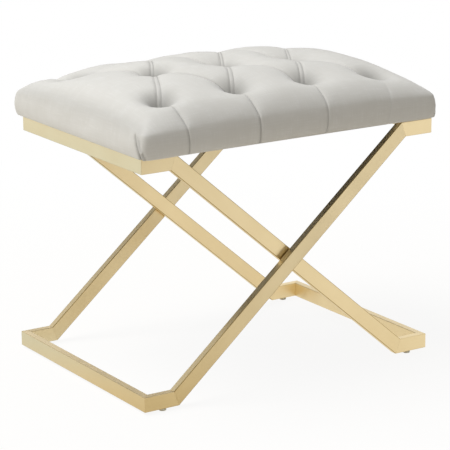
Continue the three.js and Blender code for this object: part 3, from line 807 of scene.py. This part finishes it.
def tufted_depth(form, x, y):
    """How far the folds and buttons pull the cover in.

    A fold fades as exp(-distance / fold reach) past its flat strip. A button pulls by its depth
    times two bells, one wide and one steep. A part of its depth is the broad settling round
    it, a bell with the settled reach.
    """
    deepest, pull, settled = (np.zeros_like(x) for _ in range(3))
    for fold in form.folds:
        along, _, away, size = fold_place(fold, x, y)
        past = np.maximum(away - (strip_half(form, y) if fold.kind == "double" else 0), 0)
        depth = fold_depth(form, fold, np.clip(along, 0, 1), size)
        deepest = np.maximum(deepest, depth * np.exp(-past / form.fold_reach))
    for (row, column), tuft in form.tufts.items():
        away = np.hypot(x - tuft[0], y - tuft[1])
        reach = form.middle_tuft_reach if (row, column) == (1, 1) else form.tuft_reach
        wide, steep = bell(away, reach), bell(away, form.tuft_core)
        broad = SETTLED[row][column]
        depth = (form.tuft_depth - broad) * (wide + (steep - wide) * form.core_share)
        pull = np.maximum(pull, depth)
        settled += broad * bell(away, SETTLED_REACH)
    return deepest + pull + settled


def lapped(form, aside):
    """A lapped fold across its line: a fine groove, and beyond it a low lip that fades."""
    groove = -1.3 * form.lap * bell(aside + 1 * MM, LINE["edge"])
    return groove + np.where(aside < 0, -0.35, 0.5) * form.lap * np.exp(-np.abs(aside) / (8 * MM))


def corner_aside(out_x, out_y, back, down):
    """Distance aside of a corner's fold, round the side, towards the corner's tip.

    The fold leans: it starts beside the corner at the top, and ends near the tip at the hem. It
    is on the short side at the front, and on the long side at the back.
    """
    aside, ahead = np.where(back, (out_x, out_y), (out_y, out_x))
    share_round = np.minimum(aside / np.maximum(ahead, TINY), 2)
    fold_at = CORNER_FOLD_START + (CORNER_FOLD_END - CORNER_FOLD_START) * down
    return (share_round - fold_at) * CORNER_ARC


def fold_relief(form, y, p, q, out, corner):
    """Fine relief of the folds, outwards from the skin.

    Double folds have a fine groove along each edge of their strip, and single ones have one.
    Folds over the long edges are lapped from the tuft's rim down to the hem. The fold at each
    corner is a groove down the side, a low lip beside it and a finer groove beyond. Returned
    with it is the share of painted shade at each point, from 0 to 1, in the creases and round
    the buttons.
    """
    relief, crease = np.zeros_like(p), np.zeros_like(p)
    for fold in form.folds:
        along, aside, _, size = fold_place(fold, p, q)
        if fold.kind == "edge":
            aside = aside * np.sign(fold.b[1])
            depth = fold.depth * (np.abs(aside) < LAP_REACH)
            shown = smooth_step(along * size, *LAP_FADE) * depth * (1 - corner)
            relief += shown * lapped(form, aside)
            line = shown * bell(aside + 1 * MM, LINE["edge"])
        else:
            inside = smooth_step(np.minimum(along, 1 - along), -FOLD_END, FOLD_END)
            doubled = fold.kind == "double"
            past = np.abs(aside) - strip_half(form, y) if doubled else aside
            line = inside * bell(past, LINE[fold.kind])
            relief -= (1.0 if doubled else 1.1) * form.groove * line
        # painted shade along the fold's crease
        crease = np.maximum(crease, CREASE_SHARE[fold.kind] * line)
    for tuft in form.tufts.values():
        away = np.hypot(p - tuft[0], q - tuft[1])
        # painted shade round each button
        crease = np.maximum(crease, CREASE_SHARE["tuft"] * bell(away, PIT_SHADE))
    out_x, out_y = np.abs(p) - form.flat[0], np.abs(q) - form.flat[1]
    down = np.clip((out - EDGE_WAY) / SIDE_WAY, 0, 1)
    shown = smooth_step(out, *CORNER_FADE)
    aside = corner_aside(out_x, out_y, q > 0, down)
    groove, lip, second = (high * bell(aside - at, wide) for high, at, wide in CORNER_RELIEF)
    relief += corner * shown * form.lap * (groove + lip + second)
    # painted shade in the corner fold's grooves
    crease = np.maximum(crease, corner * shown * -(groove + 0.8 * second) / 3.4)
    return relief, crease


def side_swell(form, down):
    """A parabola from 0 through the side bulge to the draw-in short of that at the hem.

    With a down - c down^2, the top is a^2 / 4c and the end a - c.
    """
    bulge, end = form.side_bulge, form.side_bulge - form.draw_in
    c = 2 * bulge - end + 2 * np.sqrt(bulge * (bulge - end))
    return (c + end) * down - c * down**2


def soft_unevenness(p, q):
    """Slight hand-worked waves of the padding: four slow waves, each with its height, its turns
    along and across in radians a metre, and its start."""
    waves = (
        (0.50, 23.0, 5.0, 0.4),
        (0.35, -11.0, 31.0, 1.9),
        (0.25, 47.0, -17.0, 4.1),
        (0.20, 29.0, 53.0, 2.7),
    )
    return sum(high * MM * np.sin(a * p + b * q + c) for high, a, b, c in waves)


def skin(form, p, q):
    """The cover's outside over its flat pattern.

    Inside the flat middle a point lies straight above its place. Past it, the distance out runs
    through the edge's turn and then down the side, and the corner's square of pattern is drawn
    round the corner, with its heading from the ratio of the two distances out. In plan a corner
    is a superellipse, cos^8 + sin^8 to the power -1/8. The hem rolls under on a small radius,
    and lifts midway along the long sides.
    """
    flat_p, flat_q = (np.clip(u, -half, half) for u, half in zip((p, q), form.flat))
    out_x, out_y = np.abs(p - flat_p), np.abs(q - flat_q)
    out = np.maximum(out_x, out_y)
    eighths = np.where(out_x >= out_y, out_y / (out_x + TINY), 2 - out_x / (out_y + TINY))
    cos, sin = np.cos(eighths * np.pi / 4), np.sin(eighths * np.pi / 4)
    reach = (cos**8 + sin**8) ** (-1 / 8)
    outward = np.stack([np.sign(p) * cos * reach, np.sign(q) * sin * reach], 1)
    place = np.stack([flat_p, flat_q], 1)
    turn = np.minimum(out / EDGE_WAY, 1) * EDGE_TURN
    down = np.clip((out - EDGE_WAY) / SIDE_WAY, 0, 1)
    spread = form.edge_reach * np.sin(turn) / np.sin(EDGE_TURN) + side_swell(form, down)
    flat_place = place + outward * spread[:, None]
    x, y = flat_place.T
    facing_up = (np.cos(turn) - np.cos(EDGE_TURN)) / (1 - np.cos(EDGE_TURN))
    height = side_height(form, x, y) * (1 - down) + edge_rise(form, x, y) * facing_up
    height += dome_height(form, x, y) * facing_up
    height -= tufted_depth(form, x, y) * facing_up
    corner = (out_x > 0) & (out_y > 0)
    relief, crease = fold_relief(form, y, p, q, out, corner)
    below = np.clip(1 - height / HEM_ROLL, 0, 1)
    tuck = np.where(down > 0, HEM_ROLL * (1 - np.sqrt(1 - below**2)), 0)
    lift = form.hem_lift * smooth_step(1 - np.abs(x) / form.half[0], 0, 1) * (out_y > 0)
    height += lift * down**2 * (1 - corner)
    uneven = soft_unevenness(p, q) * smooth_step(out, 0, EDGE_WAY) * (1 - down**4)
    heading_down = turn + down * (np.pi - 2 * EDGE_TURN)
    shift = (relief + uneven) * np.sin(heading_down) - tuck
    xy = flat_place + outward * shift[:, None]
    z = form.hem - HEM_DROP * down**2 + height + relief * np.cos(heading_down) * (1 - down**4)
    # painted shade round the rounded edge of the short ends, and in the creases
    at_ends = bell(out - END_SHADE_MIDDLE, END_SHADE_REACH) * smooth_step(out_x - out_y, 0, END_SHADE_TURN)
    nap = np.maximum(END_SHADE_SHARE * at_ends, crease)
    return np.column_stack([xy, z]), place, outward, down, nap


def pattern_lines(form):
    """Straight lines on the pattern along which the cover's edges run: beside every fold, round
    the edges and along the hem. Each is a pair of ends, kept inside the pattern."""
    lines = []
    asides = {
        "double": np.array([-1.3, 0, 1.3, 4.5]) * MM,
        "single": np.array([0, 1.6, 4.5]) * MM,
        "edge": np.array([0.6, 2.4, 6.0]) * MM,
    }
    for fold in form.folds:
        way = (fold.b - fold.a) / np.hypot(*(fold.b - fold.a))
        aside = np.array([way[1], -way[0]])
        doubled = fold.kind == "double"
        ends = [(end, strip_half(form, end[1]) if doubled else 0) for end in (fold.a, fold.b)]
        for offset in asides[fold.kind]:
            for sign in BOTH_SIDES if offset or doubled else (1,):
                lines.append([end + sign * (width + offset) * aside for end, width in ends])
    total = EDGE_WAY + SIDE_WAY
    for sx in BOTH_SIDES:
        for sy in BOTH_SIDES:
            signs = np.array([sx, sy])
            for offset in np.array([-3, 0, 3, 6, 9]) * MM:
                ends = [[EDGE_WAY, EDGE_WAY * CORNER_FOLD_START + offset]]
                ends += [[total, total * CORNER_FOLD_END + offset]]
                lines.append([signs * (form.flat + end[::-sy]) for end in np.array(ends)])
    for inward in (0, 0.8 * MM, 2.0 * MM, 4.2 * MM):
        x, y = form.pattern - inward
        ring = np.array([(-x, -y), (x, -y), (x, y), (-x, y)])
        lines += [(ring[k], ring[(k + 1) % 4]) for k in range(4)]
    return lines


def pattern_triangles(form, spacing):
    """Triangles over the pattern: even rows of points, with none within half their spacing of a
    line, joined so that every line keeps its edges. Returns points (n, 2) and triangles (m, 3).
    """
    row_step = spacing * np.sqrt(3) / 2
    half_x, half_y = form.pattern
    rows = np.arange(-half_y + row_step, half_y - row_step / 2, row_step)
    columns = np.arange(-half_x + spacing, half_x - spacing / 2, spacing)
    x, y = np.meshgrid(columns, rows)
    x = x + (np.arange(len(rows)) % 2)[:, None] * spacing / 2
    filling = np.stack([x.ravel(), y.ravel()], 1)
    filling = filling[np.abs(filling[:, 0]) < half_x - spacing * 0.4]
    points, edges, start = [], [], 0
    for a, b in pattern_lines(form):
        size = np.hypot(*(b - a))
        steps = max(int(np.ceil(size / spacing)), 1)
        points.append(a + (b - a) * np.linspace(0, 1, steps + 1)[:, None])
        edges += [(start + k, start + k + 1) for k in range(steps)]
        start += steps + 1
        t = np.clip(((filling - a) @ (b - a)) / size**2, 0, 1)
        away = np.linalg.norm(filling - a - t[:, None] * (b - a), axis=1)
        filling = filling[away > 0.5 * spacing]
    points = np.concatenate([*points, filling])
    joined = delaunay_2d_cdt(points.tolist(), edges, [], 0, 1e-7, False)
    made = np.array([tuple(v) for v in joined[0]])
    triangles = np.array(joined[2])
    a, b, c = (made[triangles[:, k]] for k in range(3))
    doubled = (b - a)[:, 0] * (c - a)[:, 1] - (b - a)[:, 1] * (c - a)[:, 0]
    triangles[doubled < 0] = triangles[doubled < 0][:, ::-1]
    return made, triangles[np.abs(doubled) > 1e-12]


def rim_order(form, pattern):
    """Numbers of the pattern's rim points, in order round it."""
    x, y = form.pattern
    near = 1e-7
    on = (np.abs(np.abs(pattern[:, 0]) - x) < near) | (np.abs(np.abs(pattern[:, 1]) - y) < near)
    rim = np.flatnonzero(on)
    p, q = pattern[rim].T
    way = np.select(
        [np.abs(q + y) < near, np.abs(p - x) < near, np.abs(q - y) < near],
        [p + x, 2 * x + q + y, 4 * x + 2 * y - (p + x)],
        4 * x + 4 * y - (q + y),
    )
    return rim[np.argsort(way)]


def core_level(form, x, y, grow):
    """Top of the foam: it follows the crown 3 mm below the tufts, and the foam is 8 mm thick
    at least."""
    pulled = form.tuft_depth + form.fold_at_tuft + 3 * MM
    edge = side_height(form, x, y) + edge_rise(form, x, y)
    top = form.hem + edge + dome_height(form, x, y) - pulled
    return np.maximum(top, form.core_low + 8 * MM) + grow


def cover_mesh(form):
    """The closed cover: its skin, the hem turned under, and the hollow for the board and foam.

    The rings inside follow the rim: in along the underside, with two just outside the dust
    cover, up over the board's edge, up the foam's sides and in over its top to a point in the
    middle. Each has its half size, its level or None where it follows the foam, and how much of
    the hem's lift it takes.
    """
    pattern, triangles = pattern_triangles(form, form.spacing)
    points, place, outward, down, nap = skin(form, pattern[:, 0], pattern[:, 1])
    free = free_points(form, pattern, points, down)
    rim = rim_order(form, pattern)
    corner = INNER_CORNER
    lining = np.array(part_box("dust_cover")[1][:2])
    opening, outside = form.board - HEM_TURNED, form.board + INNER_GAP
    settled, hem_top = form.hem - HEM_DROP, form.board_low - INNER_GAP
    lift = points[rim][:, 2] - settled
    inner = [
        (lining + 2.6 * MM, settled, 1),
        (lining + 1.2 * MM, form.hem, 0.3),
        (opening, form.hem, 0.3),
        (opening, hem_top, 0),
        (outside, hem_top, 0),
        *((outside * scale, None, 0) for scale in (1, 0.72, 0.44, 0.18)),
    ]
    index, layers, count = [rim], [points], len(rim)
    for half, level, lifted in inner:
        flat = place[rim] * (half - corner) / form.flat + outward[rim] * corner
        top = core_level(form, *flat.T, INNER_GAP)
        z = top if level is None else np.full(count, level)
        index.append(sum(len(layer) for layer in layers) + np.arange(count))
        layers.append(np.column_stack([flat, z + lifted * lift]))
    layers.append([[0, 0, core_level(form, 0, 0, INNER_GAP)]])
    all_points = np.concatenate(layers)
    walls = []
    for low, high in zip(index[:-1], index[1:]):
        low_on, high_on = np.roll(low, -1), np.roll(high, -1)
        walls += [np.stack([low_on, low, high], 1), np.stack([low_on, high, high_on], 1)]
    middle = np.full(count, len(all_points) - 1)
    walls.append(np.stack([np.roll(index[-1], -1), index[-1], middle], 1))
    faces = np.concatenate([triangles, *walls])
    inner_uv = [pattern[rim] * (1 + 0.02 * (k + 1)) for k in range(len(inner))]
    uv = np.concatenate([pattern, *inner_uv, [[0, 0]]])
    hidden = len(all_points) - len(points)
    nap = np.pad(nap, (0, hidden))
    mesh = new_mesh("tufted_velvet_seat", all_points, faces, uv[faces], nap=nap)
    return mesh, np.pad(free, (0, hidden))


def free_points(form, pattern, points, down):
    """True where the padding may push the cover: clear of the tufts, the folds and the hem."""
    p, q = pattern.T
    free = down < FREE_SIDE
    for tuft in form.tufts.values():
        free &= np.hypot(*(points[:, :2] - tuft).T) > CLEAR["tuft"]
    for fold in form.folds:
        free &= fold_place(fold, p, q)[2] > CLEAR[fold.kind]
    out_x, out_y = np.abs(p) - form.flat[0], np.abs(q) - form.flat[1]
    corner = (out_x > 0) & (out_y > 0) & (down > 0)
    aside = corner_aside(out_x, out_y, q > 0, down)
    return free & ~(corner & (np.abs(aside - CORNER_MIDDLE) < CLEAR["corner"]))


def push_out(piece, free, seat):
    """Lets the padding swell the cover by cloth simulation, its folds, tufts and hem held.

    Each point then goes where the simulation moved it, up to the cap and evened out with its
    neighbours, so that no small buckles stay beside the held folds.
    """
    held = piece.vertex_groups.new(name="held")
    held.add(np.flatnonzero(~free).tolist(), 1.0, "REPLACE")
    count = len(free)
    before = np.empty(count * 3, np.float32)
    piece.data.vertices.foreach_get("co", before)
    cloth = piece.modifiers.new("swell", "CLOTH")
    padding = {
        "quality": 6,
        "mass": 0.25,
        "tension_stiffness": 25,
        "compression_stiffness": 18,
        "shear_stiffness": 10,
        "bending_stiffness": 5.0,
        "shrink_min": -0.006,
        "use_pressure": True,
        "uniform_pressure_force": seat.pressure,
        "vertex_group_mass": held.name,
    }
    for name, value in padding.items():
        setattr(cloth.settings, name, value)
    cloth.settings.effector_weights.gravity = 0
    cloth.collision_settings.use_collision = False
    cloth.point_cache.frame_start, cloth.point_cache.frame_end = 1, seat.frames
    scene = bpy.context.scene
    for step in range(1, seat.frames + 1):
        scene.frame_set(step)
    graph = bpy.context.evaluated_depsgraph_get()
    after = np.empty(count * 3, np.float32)
    piece.evaluated_get(graph).data.vertices.foreach_get("co", after)
    move = (after - before).reshape(-1, 3)
    far = np.linalg.norm(move, axis=1)
    move *= np.minimum(1, seat.cap / np.maximum(far, TINY))[:, None]
    ends = np.empty(len(piece.data.edges) * 2, np.int32)
    piece.data.edges.foreach_get("vertices", ends)
    a, b = ends.reshape(-1, 2).T
    joined = np.bincount(ends, minlength=count)[:, None]
    for _ in range(seat.evening):
        total = np.zeros_like(move)
        np.add.at(total, a, move[b])
        np.add.at(total, b, move[a])
        move = np.where(free[:, None], total / joined, 0)
    piece.modifiers.remove(cloth)
    piece.vertex_groups.clear()
    scene.frame_set(1)
    piece.data.vertices.foreach_set("co", (before.reshape(-1, 3) + move).ravel())
    piece.data.update()


class STOOL_OT_tufted_seat(bpy.types.Operator):
    """Builds the velvet cover with its tufts and folds, and swells it over its padding"""

    bl_idname = "stool.tufted_seat"
    bl_label = "Tufted seat"

    def execute(self, context):
        seat = context.scene.stool_seat
        mesh, free = cover_mesh(seat_form(seat))
        cover = add_piece(mesh, pile_velvet(seat), "velvet")
        push_out(cover, free, seat)
        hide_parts("tufted_cover")
        return {"FINISHED"}


class STOOL_OT_tuft_buttons(bpy.types.Operator):
    """Builds the velvet-covered buttons, one in each tuft"""

    bl_idname = "stool.tuft_buttons"
    bl_label = "Tuft buttons"

    def execute(self, context):
        velvet = bpy.data.materials["short_pile_velvet"]
        rim = 1.2 * MM
        for row_name, count in TUFT_ROWS:
            for column in range(count):
                node = f"tuft_button_{row_name}_{column + 1}"
                radius, tall, foot = upright(node)
                back = [[radius * 0.55, 0.0], [radius - rim * 0.4, rim * 0.2], [radius, rim]]
                face = arc((0, rim), (radius, tall - rim), np.linspace(0, np.pi / 2, 9)[1:-1])
                mesh = turned_form(f"velvet_{node}", [*back, *face], foot, sides=40)
                add_piece(mesh, velvet, "velvet", node)
        return {"FINISHED"}


# Under the seat


class STOOL_OT_foam_core(bpy.types.Operator):
    """Builds the foam block inside the cover, rounded where the cover pulls over it"""

    bl_idname = "stool.foam_core"
    bl_label = "Foam core"

    def execute(self, context):
        form = seat_form(context.scene.stool_seat)
        around = arc((0, 0), 1, np.linspace(0, 2 * np.pi, 161)[:-1])
        square = around / (np.abs(around) ** 12).sum(1)[:, None] ** (1 / 12)
        easing, clear, clear_top = 2 * MM, 0.1 * MM, -0.2 * MM
        low = form.core_low + clear
        # Each ring's share of the board, its inset, and its drop below the top, or None beneath
        outline = [(0.3, 0, None), (0.7, 0, None), (1, 0, None), (1, 0, easing), (1, easing, 0)]
        outline += [(scale, 0, 0) for scale in (0.9, 0.75, 0.6, 0.45, 0.3, 0.15)]
        rings = []
        for scale, inset, drop in outline:
            flat = square * (form.board * scale - inset - clear)
            z = core_level(form, *flat.T, clear_top)
            z = np.full(len(flat), low) if drop is None else z - drop
            rings.append(np.column_stack([flat, z]))
        tips = [[0, 0, low], [0, 0, core_level(form, 0, 0, clear_top)]]
        mesh = new_mesh("cut_foam_core", *capped_rings(rings, tips), sharp=50)
        core = add_piece(mesh, open_foam(context.scene.stool_fixings), "foam", "foam_core")
        return {"FINISHED"}


class STOOL_OT_dust_cover(bpy.types.Operator):
    """Builds the black lining stapled under the seat, and its staples"""

    bl_idname = "stool.dust_cover"
    bl_label = "Dust cover"

    def execute(self, context):
        fixing = context.scene.stool_fixings
        low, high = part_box("dust_cover")
        half = np.array([high.x, high.y])
        mesh = self.lining(half, high.z, fixing.staple_pitch)
        sheet = add_piece(mesh, spun_lining(fixing), "dust_cover_cloth", "dust_cover")
        add_piece(self.staples(half, low.z, fixing.staple_pitch), zinc_plate(fixing), "steel")
        return {"FINISHED"}

    def lining(self, half, top, pitch):
        """A thin closed sheet that sags a little inside, with waves between its staples.

        The wave is half of 1 - cos cos over the staples' pitch, and fades in from the edge.
        """
        long, wide = 136, 100  # points each way
        thick, sags, waves = 0.35 * MM, 0.15 * MM, 0.16 * MM
        columns, rows = (np.linspace(-reach, reach, n) for reach, n in zip(half, (long, wide)))
        x, y = np.meshgrid(columns, rows, indexing="ij")
        from_edge = np.minimum(half[0] - np.abs(x), half[1] - np.abs(y))
        wave = 0.5 - 0.5 * np.cos(2 * np.pi * x / pitch) * np.cos(2 * np.pi * y / pitch)
        fade = np.exp(-from_edge / (14 * MM)) * smooth_step(from_edge, 0, 6 * MM)
        sag = sags * smooth_step(from_edge, 0, 0.18) + waves * wave * fade
        level = top - thick - 0.05 * MM - sag
        upper, lower = np.stack([x, y, level + thick], 2), np.stack([x, y, level], 2)
        points = np.concatenate([lower, upper[:, ::-1]], 1).reshape(-1, 3)
        k = np.arange(wide - 1)
        end = np.stack([k, k + 1, 2 * wide - 2 - k, 2 * wide - 1 - k], 1)
        body = ring_faces(long, 2 * wide, closed=False)
        faces = np.concatenate([body, end[:, ::-1], end + (long - 1) * 2 * wide])
        return new_mesh("stapled_dust_cover", points, faces, points[faces][:, :, :2], sharp=50)

    def staples(self, half, level, pitch):
        """Crowns of the staples: a flattened wire, bent up at both ends and pressed a little
        into the lining, repeated in place."""
        leg = np.array([[5, 0.35], [4.9, -0.05], [4.3, -0.25]])
        way = np.concatenate([leg * [-1, 1], leg[::-1]])
        wire = arc((0, 0), (0.5 * MM, 0.12 * MM), np.arange(8) * np.pi / 4)
        rings = [np.column_stack([np.full(8, u), wire + [0, w]]) for u, w in way * MM]
        form = np.concatenate(rings) + [0, 0, level + 0.03 * MM]
        ends = np.array([[3, 2, 1, 0], [7, 6, 5, 4]])
        tips = (len(way) - 1) * 8 + 7 - ends
        crown = np.concatenate([ring_faces(len(way), 8, closed=False), ends, tips])
        x, y = half - STAPLE_INSET
        short_x, short_y = half - STAPLES_END
        lines = [((-short_x, s * y), (short_x, s * y)) for s in (-1, 1)]
        lines += [((s * x, -short_y), (s * x, short_y)) for s in (-1, 1)]
        points, faces = [], []
        for start, end in np.array(lines):
            along = unit(end - start)
            turn = np.array([[*along, 0], [-along[1], along[0], 0], [0, 0, 1]])
            count = max(int(round(np.hypot(*(end - start)) / pitch)), 1)
            for share_on in (np.arange(count) + 0.5) / count:
                faces.append(crown + len(points) * len(form))
                points.append(form @ turn + [*(start + (end - start) * share_on), 0])
        points, faces = np.concatenate(points), np.concatenate(faces)
        return new_mesh("dust_cover_staples", points, faces, sharp=50)


class STOOL_OT_fixings(bpy.types.Operator):
    """Finishes the board, tabs, screws, nuts and shims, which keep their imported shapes"""

    bl_idname = "stool.fixings"
    bl_label = "Fixings"

    def execute(self, context):
        zinc = bpy.data.materials["zinc_plated_steel"]
        birch = birch_plywood(context.scene.stool_fixings)
        tab_gold = plated_tab(context.scene.stool_gold)
        for name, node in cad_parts.items():
            if node.hide_render:
                continue
            finish = tab_gold if name.startswith("seat_tab") else zinc
            for slot in node.material_slots:
                slot.material = birch if name == "seat_board" else finish
        return {"FINISHED"}


class STOOL_OT_glides(bpy.types.Operator):
    """Builds the four glide feet, turned with a soft edge and a shallow dished sole"""

    bl_idname = "stool.glides"
    bl_label = "Glides"

    def execute(self, context):
        plastic = moulded_plastic(context.scene.stool_fixings)
        turn = np.linspace(0, np.pi / 2, 6)
        edge, hole, hole_end = 0.9 * MM, 2.6 * MM, 1.3 * MM
        # From the dished sole, round the lower and upper edges and down into the stud's hole
        for place in ("left_near", "left_far", "right_near", "right_far"):
            node = f"glide_foot_{place}"
            radius, tall, foot = upright(node)
            profile = [
                [radius * 0.3, 0.25 * MM],
                [radius * 0.6, 0.2 * MM],
                [radius * 0.72, 0.0],
                *arc((radius - edge, edge), edge, turn - np.pi / 2),
                *arc((radius - edge / 2, tall - edge / 2), edge / 2, turn),
                [hole, tall],
                [hole, hole_end],
                [0.5 * MM, hole_end],
            ]
            mesh = turned_form(f"moulded_{node}", profile, foot, sides=48, sharp=40)
            add_piece(mesh, plastic, "glide_plastic", node, body=f"glide_{place}")
        return {"FINISHED"}


# Stage


def kinds_of_ray(tree):
    """1 for rays from the lens, and 1 for rays that a glossy or clear surface sends on."""
    kinds = ("Camera", "Glossy", "Transmission")
    camera, glossy, clear = (add(tree, "LightPath", out=f"Is {kind} Ray") for kind in kinds)
    return camera, add(tree, "Math", (glossy, clear), operation="MAXIMUM")


def apart(tree, place, centre, near, far, low=0.0, high=1.0, fade="SMOOTHSTEP"):
    """From low to high as the distance from a centre on the floor goes from near to far."""
    away = add(tree, "VectorMath", (place, (*centre, 0)), "Value", operation="DISTANCE")
    return add(tree, "MapRange", (away, near, far, low, high), interpolation_type=fade)


def aimed(name, data, place, back, roll=0.0):
    """A lamp or camera at a place, with its back along a direction, level but for its roll."""
    back = unit(np.array(back, float))
    right = unit(np.cross([0, 0, 1], back))
    up = np.cross(back, right)
    turned = np.eye(4)
    turned[:3, 0] = right * np.cos(roll) + up * np.sin(roll)
    turned[:3, 1] = -right * np.sin(roll) + up * np.cos(roll)
    turned[:3, 2], turned[:3, 3] = back, place
    holder = new_object(name, data)
    holder.matrix_world = Matrix(turned.tolist())
    return holder


def add_lamp(name, power, place, size, tint=(1, 1, 1)):
    """A soft square lamp that lights the stool and isn't mirrored in the metal."""
    lamp = bpy.data.lights.new(name, "AREA")
    lamp.energy, lamp.size, lamp.color = power, size, tint
    target = (0, 0, 0.35)
    aimed(name, lamp, place, np.subtract(place, target)).visible_glossy = False


def add_stage_piece(mesh, material):
    """Puts a mesh in the scene that isn't part of the stool."""
    mesh.materials.append(material)
    piece = new_object(mesh.name, mesh)
    return piece


class STOOL_OT_stage(bpy.types.Operator):
    """Sets the floor, the lamps, the white background and the camera of the photograph"""

    bl_idname = "stool.stage"
    bl_label = "Stage"

    def execute(self, context):
        stage = context.scene.stool_stage
        self.floor(stage)
        self.sky(context.scene, stage)
        add_lamp("key_lamp", stage.key, (-2.1, 0.9, 4.2), 3.0, (0.96, 0.98, 1.0))
        add_lamp("fill_lamp", stage.fill, (2.4, 1.6, 2.2), 2.4)
        self.dark_card(stage)
        self.camera(context.scene, stage)
        context.scene.view_settings.view_transform = "Standard"
        return {"FINISHED"}

    def floor(self, stage):
        """A wide floor that shows white, with the stool's own shadow kept.

        The metal mirrors a painted reflection: for glossy rays the floor glows, duller by the near
        left foot and towards the lens, warm by that foot and cool behind on the left.
        """
        material, tree = new_finish("floor_paper", {"Specular IOR Level": 0.0, "Roughness": 1.0})
        place = add(tree, "TexCoord", out="Object")
        dress(tree, stage.floor, [(spread_noise(tree, place, 2 * MM, 3), 0, 0.2, (0.95,) * 3)])
        camera, mirrored = kinds_of_ray(tree)
        by_foot = apart(tree, place, (-0.25, -0.25), 0.0, 0.8, fade="LINEAR")
        by_foot = add(tree, "Math", (by_foot, 0.6), operation="POWER")
        by_lens = apart(tree, place, (0.3, -1.7), 0.0, 0.9, 0.5, 1.0)
        dull = add(tree, "MapRange", (by_foot, 0, 1, 0.62, 1.0))
        dull = add(tree, "Math", (dull, by_lens), operation="MULTIPLY")
        cool = apart(tree, place, (-1.0, 0.9), 0.7, 1.25)
        # What the lens sees straight has none of this
        warm, dull, cool = (
            add(tree, "Math", (zone, camera), operation="MAXIMUM") for zone in (by_foot, dull, cool)
        )
        tint = (1, 1, 1, 1)
        for zone, zone_tint in ((warm, (1.0, 0.86, 0.56, 1.0)), (cool, (0.74, 0.89, 1.04, 1.0))):
            tint = add(tree, "Mix", {0: zone, 6: zone_tint, 7: tint}, 2, data_type="RGBA")
        # painted reflection: a glow that the metal mirrors, toned by the zones above
        glow = add(tree, "Emission", (tint, dull))
        beyond = apart(tree, place, (0, 0), 0.3, 1.5, 0.9, 1.0)
        seen = add(tree, "Math", (camera, beyond), operation="MULTIPLY")
        white = add(tree, "Math", (seen, mirrored), operation="MAXIMUM")
        shaded = tree.nodes["Principled BSDF"].outputs[0]
        surface = add(tree, "MixShader", (white, shaded, glow))
        tree.links.new(surface, tree.nodes["Material Output"].inputs["Surface"])
        points = FLOOR_HALF * np.array([[-1, -1, 0], [1, -1, 0], [1, 1, 0], [-1, 1, 0]])
        add_stage_piece(new_mesh("floor", points, np.array([[0, 1, 2, 3]])), material)

    def dark_card(self, stage):
        """A dark card that arches over the stool from behind it, which only the metal mirrors."""
        left, right = -1.15, 0.8
        arch = ((1.9, 1.18), (1.14, 4.2), (-0.8, 4.8), (-2.3, 3.4), (-2.4, 0.3))
        points = np.array([[x, y, z] for y, z in arch for x in (left, right)])
        faces = np.array([[0, 1, 3, 2]]) + 2 * np.arange(len(arch) - 1)[:, None]
        constants = {"Roughness": 1.0, "Base Color": (*stage.card, 1.0)}
        material, _ = new_finish("black_felt_card", constants)
        card = add_stage_piece(new_mesh("dark_card", points, faces), material)
        card.visible_camera = card.visible_diffuse = card.visible_shadow = False
        card.visible_transmission = card.visible_volume_scatter = False

    def sky(self, scene, stage):
        """White where it is seen, and a plain soft light where it lights the stool."""
        scene.world = bpy.data.worlds.new("studio")
        scene.world.use_nodes = True
        tree = scene.world.node_tree
        seen = add(tree, "Math", kinds_of_ray(tree), operation="MAXIMUM")
        strength = add(tree, "MapRange", (seen, 0, 1, stage.sky, 1.0))
        background = tree.nodes["Background"]
        background.inputs["Color"].default_value = (1, 1, 1, 1)
        tree.links.new(strength, background.inputs["Strength"])

    def camera(self, scene, stage):
        """The photograph's camera, turned by its yaw and pitch and then rolled."""
        lens = bpy.data.cameras.new("camera")
        lens.lens, lens.sensor_width = stage.lens, 36
        lens.clip_start, lens.clip_end = 0.1, 60
        flat = np.cos(CAMERA_PITCH)
        back = [np.sin(CAMERA_YAW) * flat, -np.cos(CAMERA_YAW) * flat, np.sin(CAMERA_PITCH)]
        scene.camera = aimed("camera", lens, CAMERA_PLACE, back, CAMERA_ROLL)


class STOOL_PT_pieces(bpy.types.Panel):
    """Lists the operators in the order in which they run"""

    bl_label = "X frame stool"
    bl_idname = "STOOL_PT_pieces"
    bl_space_type = "VIEW_3D"
    bl_region_type = "UI"
    bl_category = "Stool"

    def draw(self, context):
        for operator in OPERATORS:
            self.layout.operator(operator.bl_idname)


SETTINGS = {
    "stool_gold": GoldSettings,
    "stool_seat": SeatSettings,
    "stool_fixings": FixingSettings,
    "stool_stage": StageSettings,
}
OPERATORS = (
    STOOL_OT_stage,
    STOOL_OT_gold_loops,
    STOOL_OT_tufted_seat,
    STOOL_OT_tuft_buttons,
    STOOL_OT_foam_core,
    STOOL_OT_dust_cover,
    STOOL_OT_fixings,
    STOOL_OT_glides,
)
CLASSES = (*SETTINGS.values(), *OPERATORS, STOOL_PT_pieces)


def register():
    for made in CLASSES:
        bpy.utils.register_class(made)
    for name, group in SETTINGS.items():
        setattr(bpy.types.Scene, name, PointerProperty(type=group))


def unregister():
    for name in SETTINGS:
        delattr(bpy.types.Scene, name)
    for made in reversed(CLASSES):
        bpy.utils.unregister_class(made)


def main():
    register()
    bpy.ops.stool.stage()
    bpy.ops.stool.gold_loops()
    bpy.ops.stool.tufted_seat()
    bpy.ops.stool.tuft_buttons()
    bpy.ops.stool.foam_core()
    bpy.ops.stool.dust_cover()
    bpy.ops.stool.fixings()
    bpy.ops.stool.glides()


if __name__ == "__main__":
    main()
